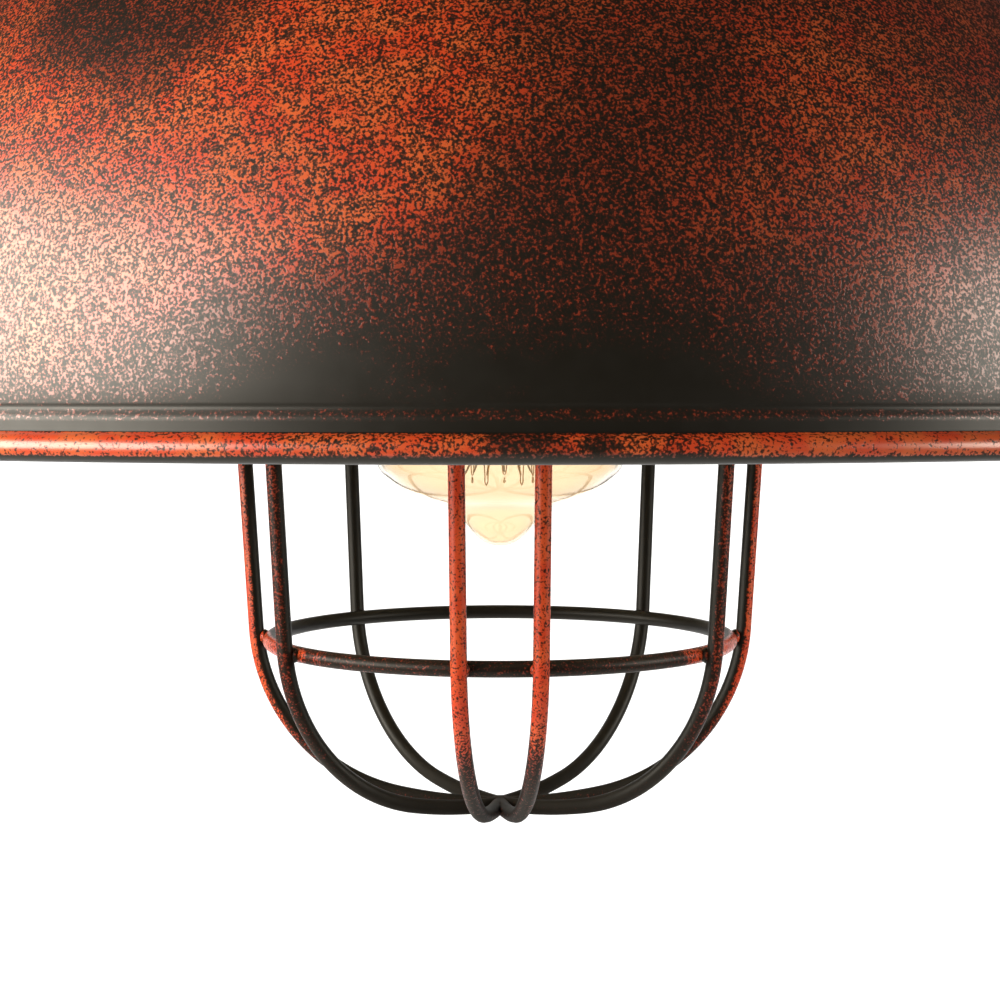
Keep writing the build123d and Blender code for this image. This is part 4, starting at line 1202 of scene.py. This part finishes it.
def moved_in(line, wall):
    """The line moved inwards by the wall, square to itself."""
    inner = []
    for index, (radius, height) in enumerate(line):
        ahead = line[min(index + 1, len(line) - 1)]
        behind = line[max(index - 1, 0)]
        along = (ahead[0] - behind[0], ahead[1] - behind[1])
        length = math.hypot(*along)
        inner.append((max(0, radius + wall * along[1] / length), height - wall * along[0] / length))
    inner[0] = (line[0][0] - wall, line[0][1])
    inner[-1] = (0, line[-1][1] + wall)
    return inner


glass_line = [(radius * MM, rim_low + height * MM) for radius, height in blown(ENVELOPE)]
glass = turned("blown_lamp_glass", glass_line + moved_in(glass_line, GLASS)[::-1], 128, 60)

amber_glass, start = new_finish("amber_glass")
set_finish(
    amber_glass,
    start,
    Base_Color=start.noise(60, detail=2).mix(colour(252, 236, 214), colour(250, 231, 204)),
    Roughness=start.noise(90, detail=3) * 0.03,
    IOR=1.46,
    Transmission_Weight=1.0,
    Normal=start.bump(start.noise(70, detail=1), 0.06, 0.3 * MM),
)
fitted(glass, "lamp", "amber_glass", amber_glass, "lamp_glass")

clear_glass, start = new_finish("clear_glass")
set_finish(
    clear_glass,
    start,
    Base_Color=start.noise(80).mix(colour(240, 246, 243), colour(232, 240, 236)),
    Roughness=start.noise(200, detail=2) * 0.05,
    IOR=1.5,
    Transmission_Weight=1.0,
    Normal=start.bump(start.noise(150, detail=1), 0.08, 0.2 * MM),
)
stem_low = rim_low + 6.0 * MM
stem = turned(
    "lamp_stem_glass",
    [
        (0, rim_low + 92.0 * MM),
        (11.4 * MM, rim_low + 92.0 * MM),
        (11.6 * MM, rim_low + 91.6 * MM),
        (11.2 * MM, rim_low + 90.6 * MM),
        (7.6 * MM, rim_low + 87.0 * MM),
        (4.9 * MM, rim_low + 82.0 * MM),
        (4.3 * MM, rim_low + 77.0 * MM),
        (4.0 * MM, rim_low + 72.0 * MM),
        (3.0 * MM, rim_low + 69.0 * MM),
        (2.3 * MM, rim_low + 67.0 * MM),
        (2.2 * MM, rim_low + 66.0 * MM),
        (2.2 * MM, stem_low + 3.4 * MM),
        (2.5 * MM, stem_low + 2.5 * MM),
    ]
    + arc((2.0 * MM, stem_low + 1.0 * MM), 1.0 * MM, 60, -90, 6)
    + [(0, stem_low)],
    steps=48,
    smooth_angle=60,
)
fitted(stem, "lamp", "clear_glass", clear_glass, "lamp_stem")

CAP_RADIUS = 13.1 * MM
CAP_INNER = 12.7 * MM
CAP_END_RADIUS = 11.2 * MM
cap_low = rim_low + 88.0 * MM
cap_shoulder = rim_low + 107.5 * MM
cap_top = rim_low + 109.5 * MM
lamp_cap = turned(
    "rolled_lamp_cap",
    [(CAP_RADIUS, row) for row in steps_between(cap_low, cap_shoulder, THREAD_ROWS)]
    + [(11.9 * MM, cap_top), (CAP_END_RADIUS, cap_top)]
    + [(CAP_INNER, row) for row in steps_between(cap_shoulder - THREAD_ROWS, cap_low, THREAD_ROWS)],
    steps=96,
)
threaded(lamp_cap, rim_low + 92.6 * MM, rim_low + 112.0 * MM, LAMP_PITCH, THREAD_DEPTH, THREAD_FADE)
fitted(lamp_cap, "lamp", "nickel_brass", nickel_brass, "lamp_cap")

black_glass = moulded_finish("black_glass", colour(18, 17, 20), colour(30, 27, 33), 0.08, 200.0, 0.4)
insulator = turned(
    "lamp_cap_insulator",
    [
        (0, cap_top),
        (CAP_END_RADIUS, cap_top),
        (11.0 * MM, cap_top + 0.9 * MM),
        (9.6 * MM, cap_top + 2.0 * MM),
        (7.4 * MM, cap_top + 3.0 * MM),
        (5.6 * MM, cap_top + 3.7 * MM),
        (0, cap_top + 3.7 * MM),
    ],
    smooth_angle=50,
)
fitted(insulator, "lamp", "black_glass", black_glass, "lamp_insulator")

solder = plated_finish("solder", colour(188, 188, 184), colour(140, 139, 136), 0.30)
contact_low = rim_low + 113.2 * MM
contact = turned(
    "soldered_contact",
    [(0, contact_low), (4.6 * MM, contact_low), (4.6 * MM, contact_low + 0.5 * MM)]
    + arc((3.6 * MM, contact_low + 0.6 * MM), 1.0 * MM, 10, 80, 5, 0.9)
    + [(2.0 * MM, contact_low + 1.72 * MM), (0, contact_low + 1.8 * MM)],
    steps=48,
    smooth_angle=60,
)
fitted(contact, "lamp_contact", "solder", solder, "lamp_contact")

FILAMENT_HOOKS = 13
FILAMENT_RADIUS = 9.4 * MM
FILAMENT_TOP = rim_low + 62.0 * MM
FILAMENT_BOTTOM = rim_low - 9.6 * MM
FILAMENT_WIRE = 0.15 * MM
filament_points = []
for index in range(FILAMENT_HOOKS):
    turn = 360 * index / FILAMENT_HOOKS
    hook, outwards = (FILAMENT_BOTTOM, -MM) if index % 2 else (FILAMENT_TOP, MM)
    for lean, rise in ((-2.4, -0.6), (-1.2, 0.15), (0, 0.5), (1.2, 0.15), (2.4, -0.6)):
        side = math.radians(turn + lean)
        across = (FILAMENT_RADIUS * math.cos(side), FILAMENT_RADIUS * math.sin(side))
        filament_points.append((*across, hook + rise * outwards))
filament = bent_wire("zigzag_filament", filament_points, FILAMENT_WIRE, 2)
filament_wire = plated_finish("filament_wire", colour(244, 214, 160), colour(226, 184, 122), 0.45, 0.2)
fitted(filament, "lamp", "filament_wire", filament_wire, "filament")
support_wire = plated_finish("support_wire", colour(232, 222, 200), colour(208, 192, 166), 0.40, 0.3)
refinish(support_wire, "filament_supports", "lamp_leads")
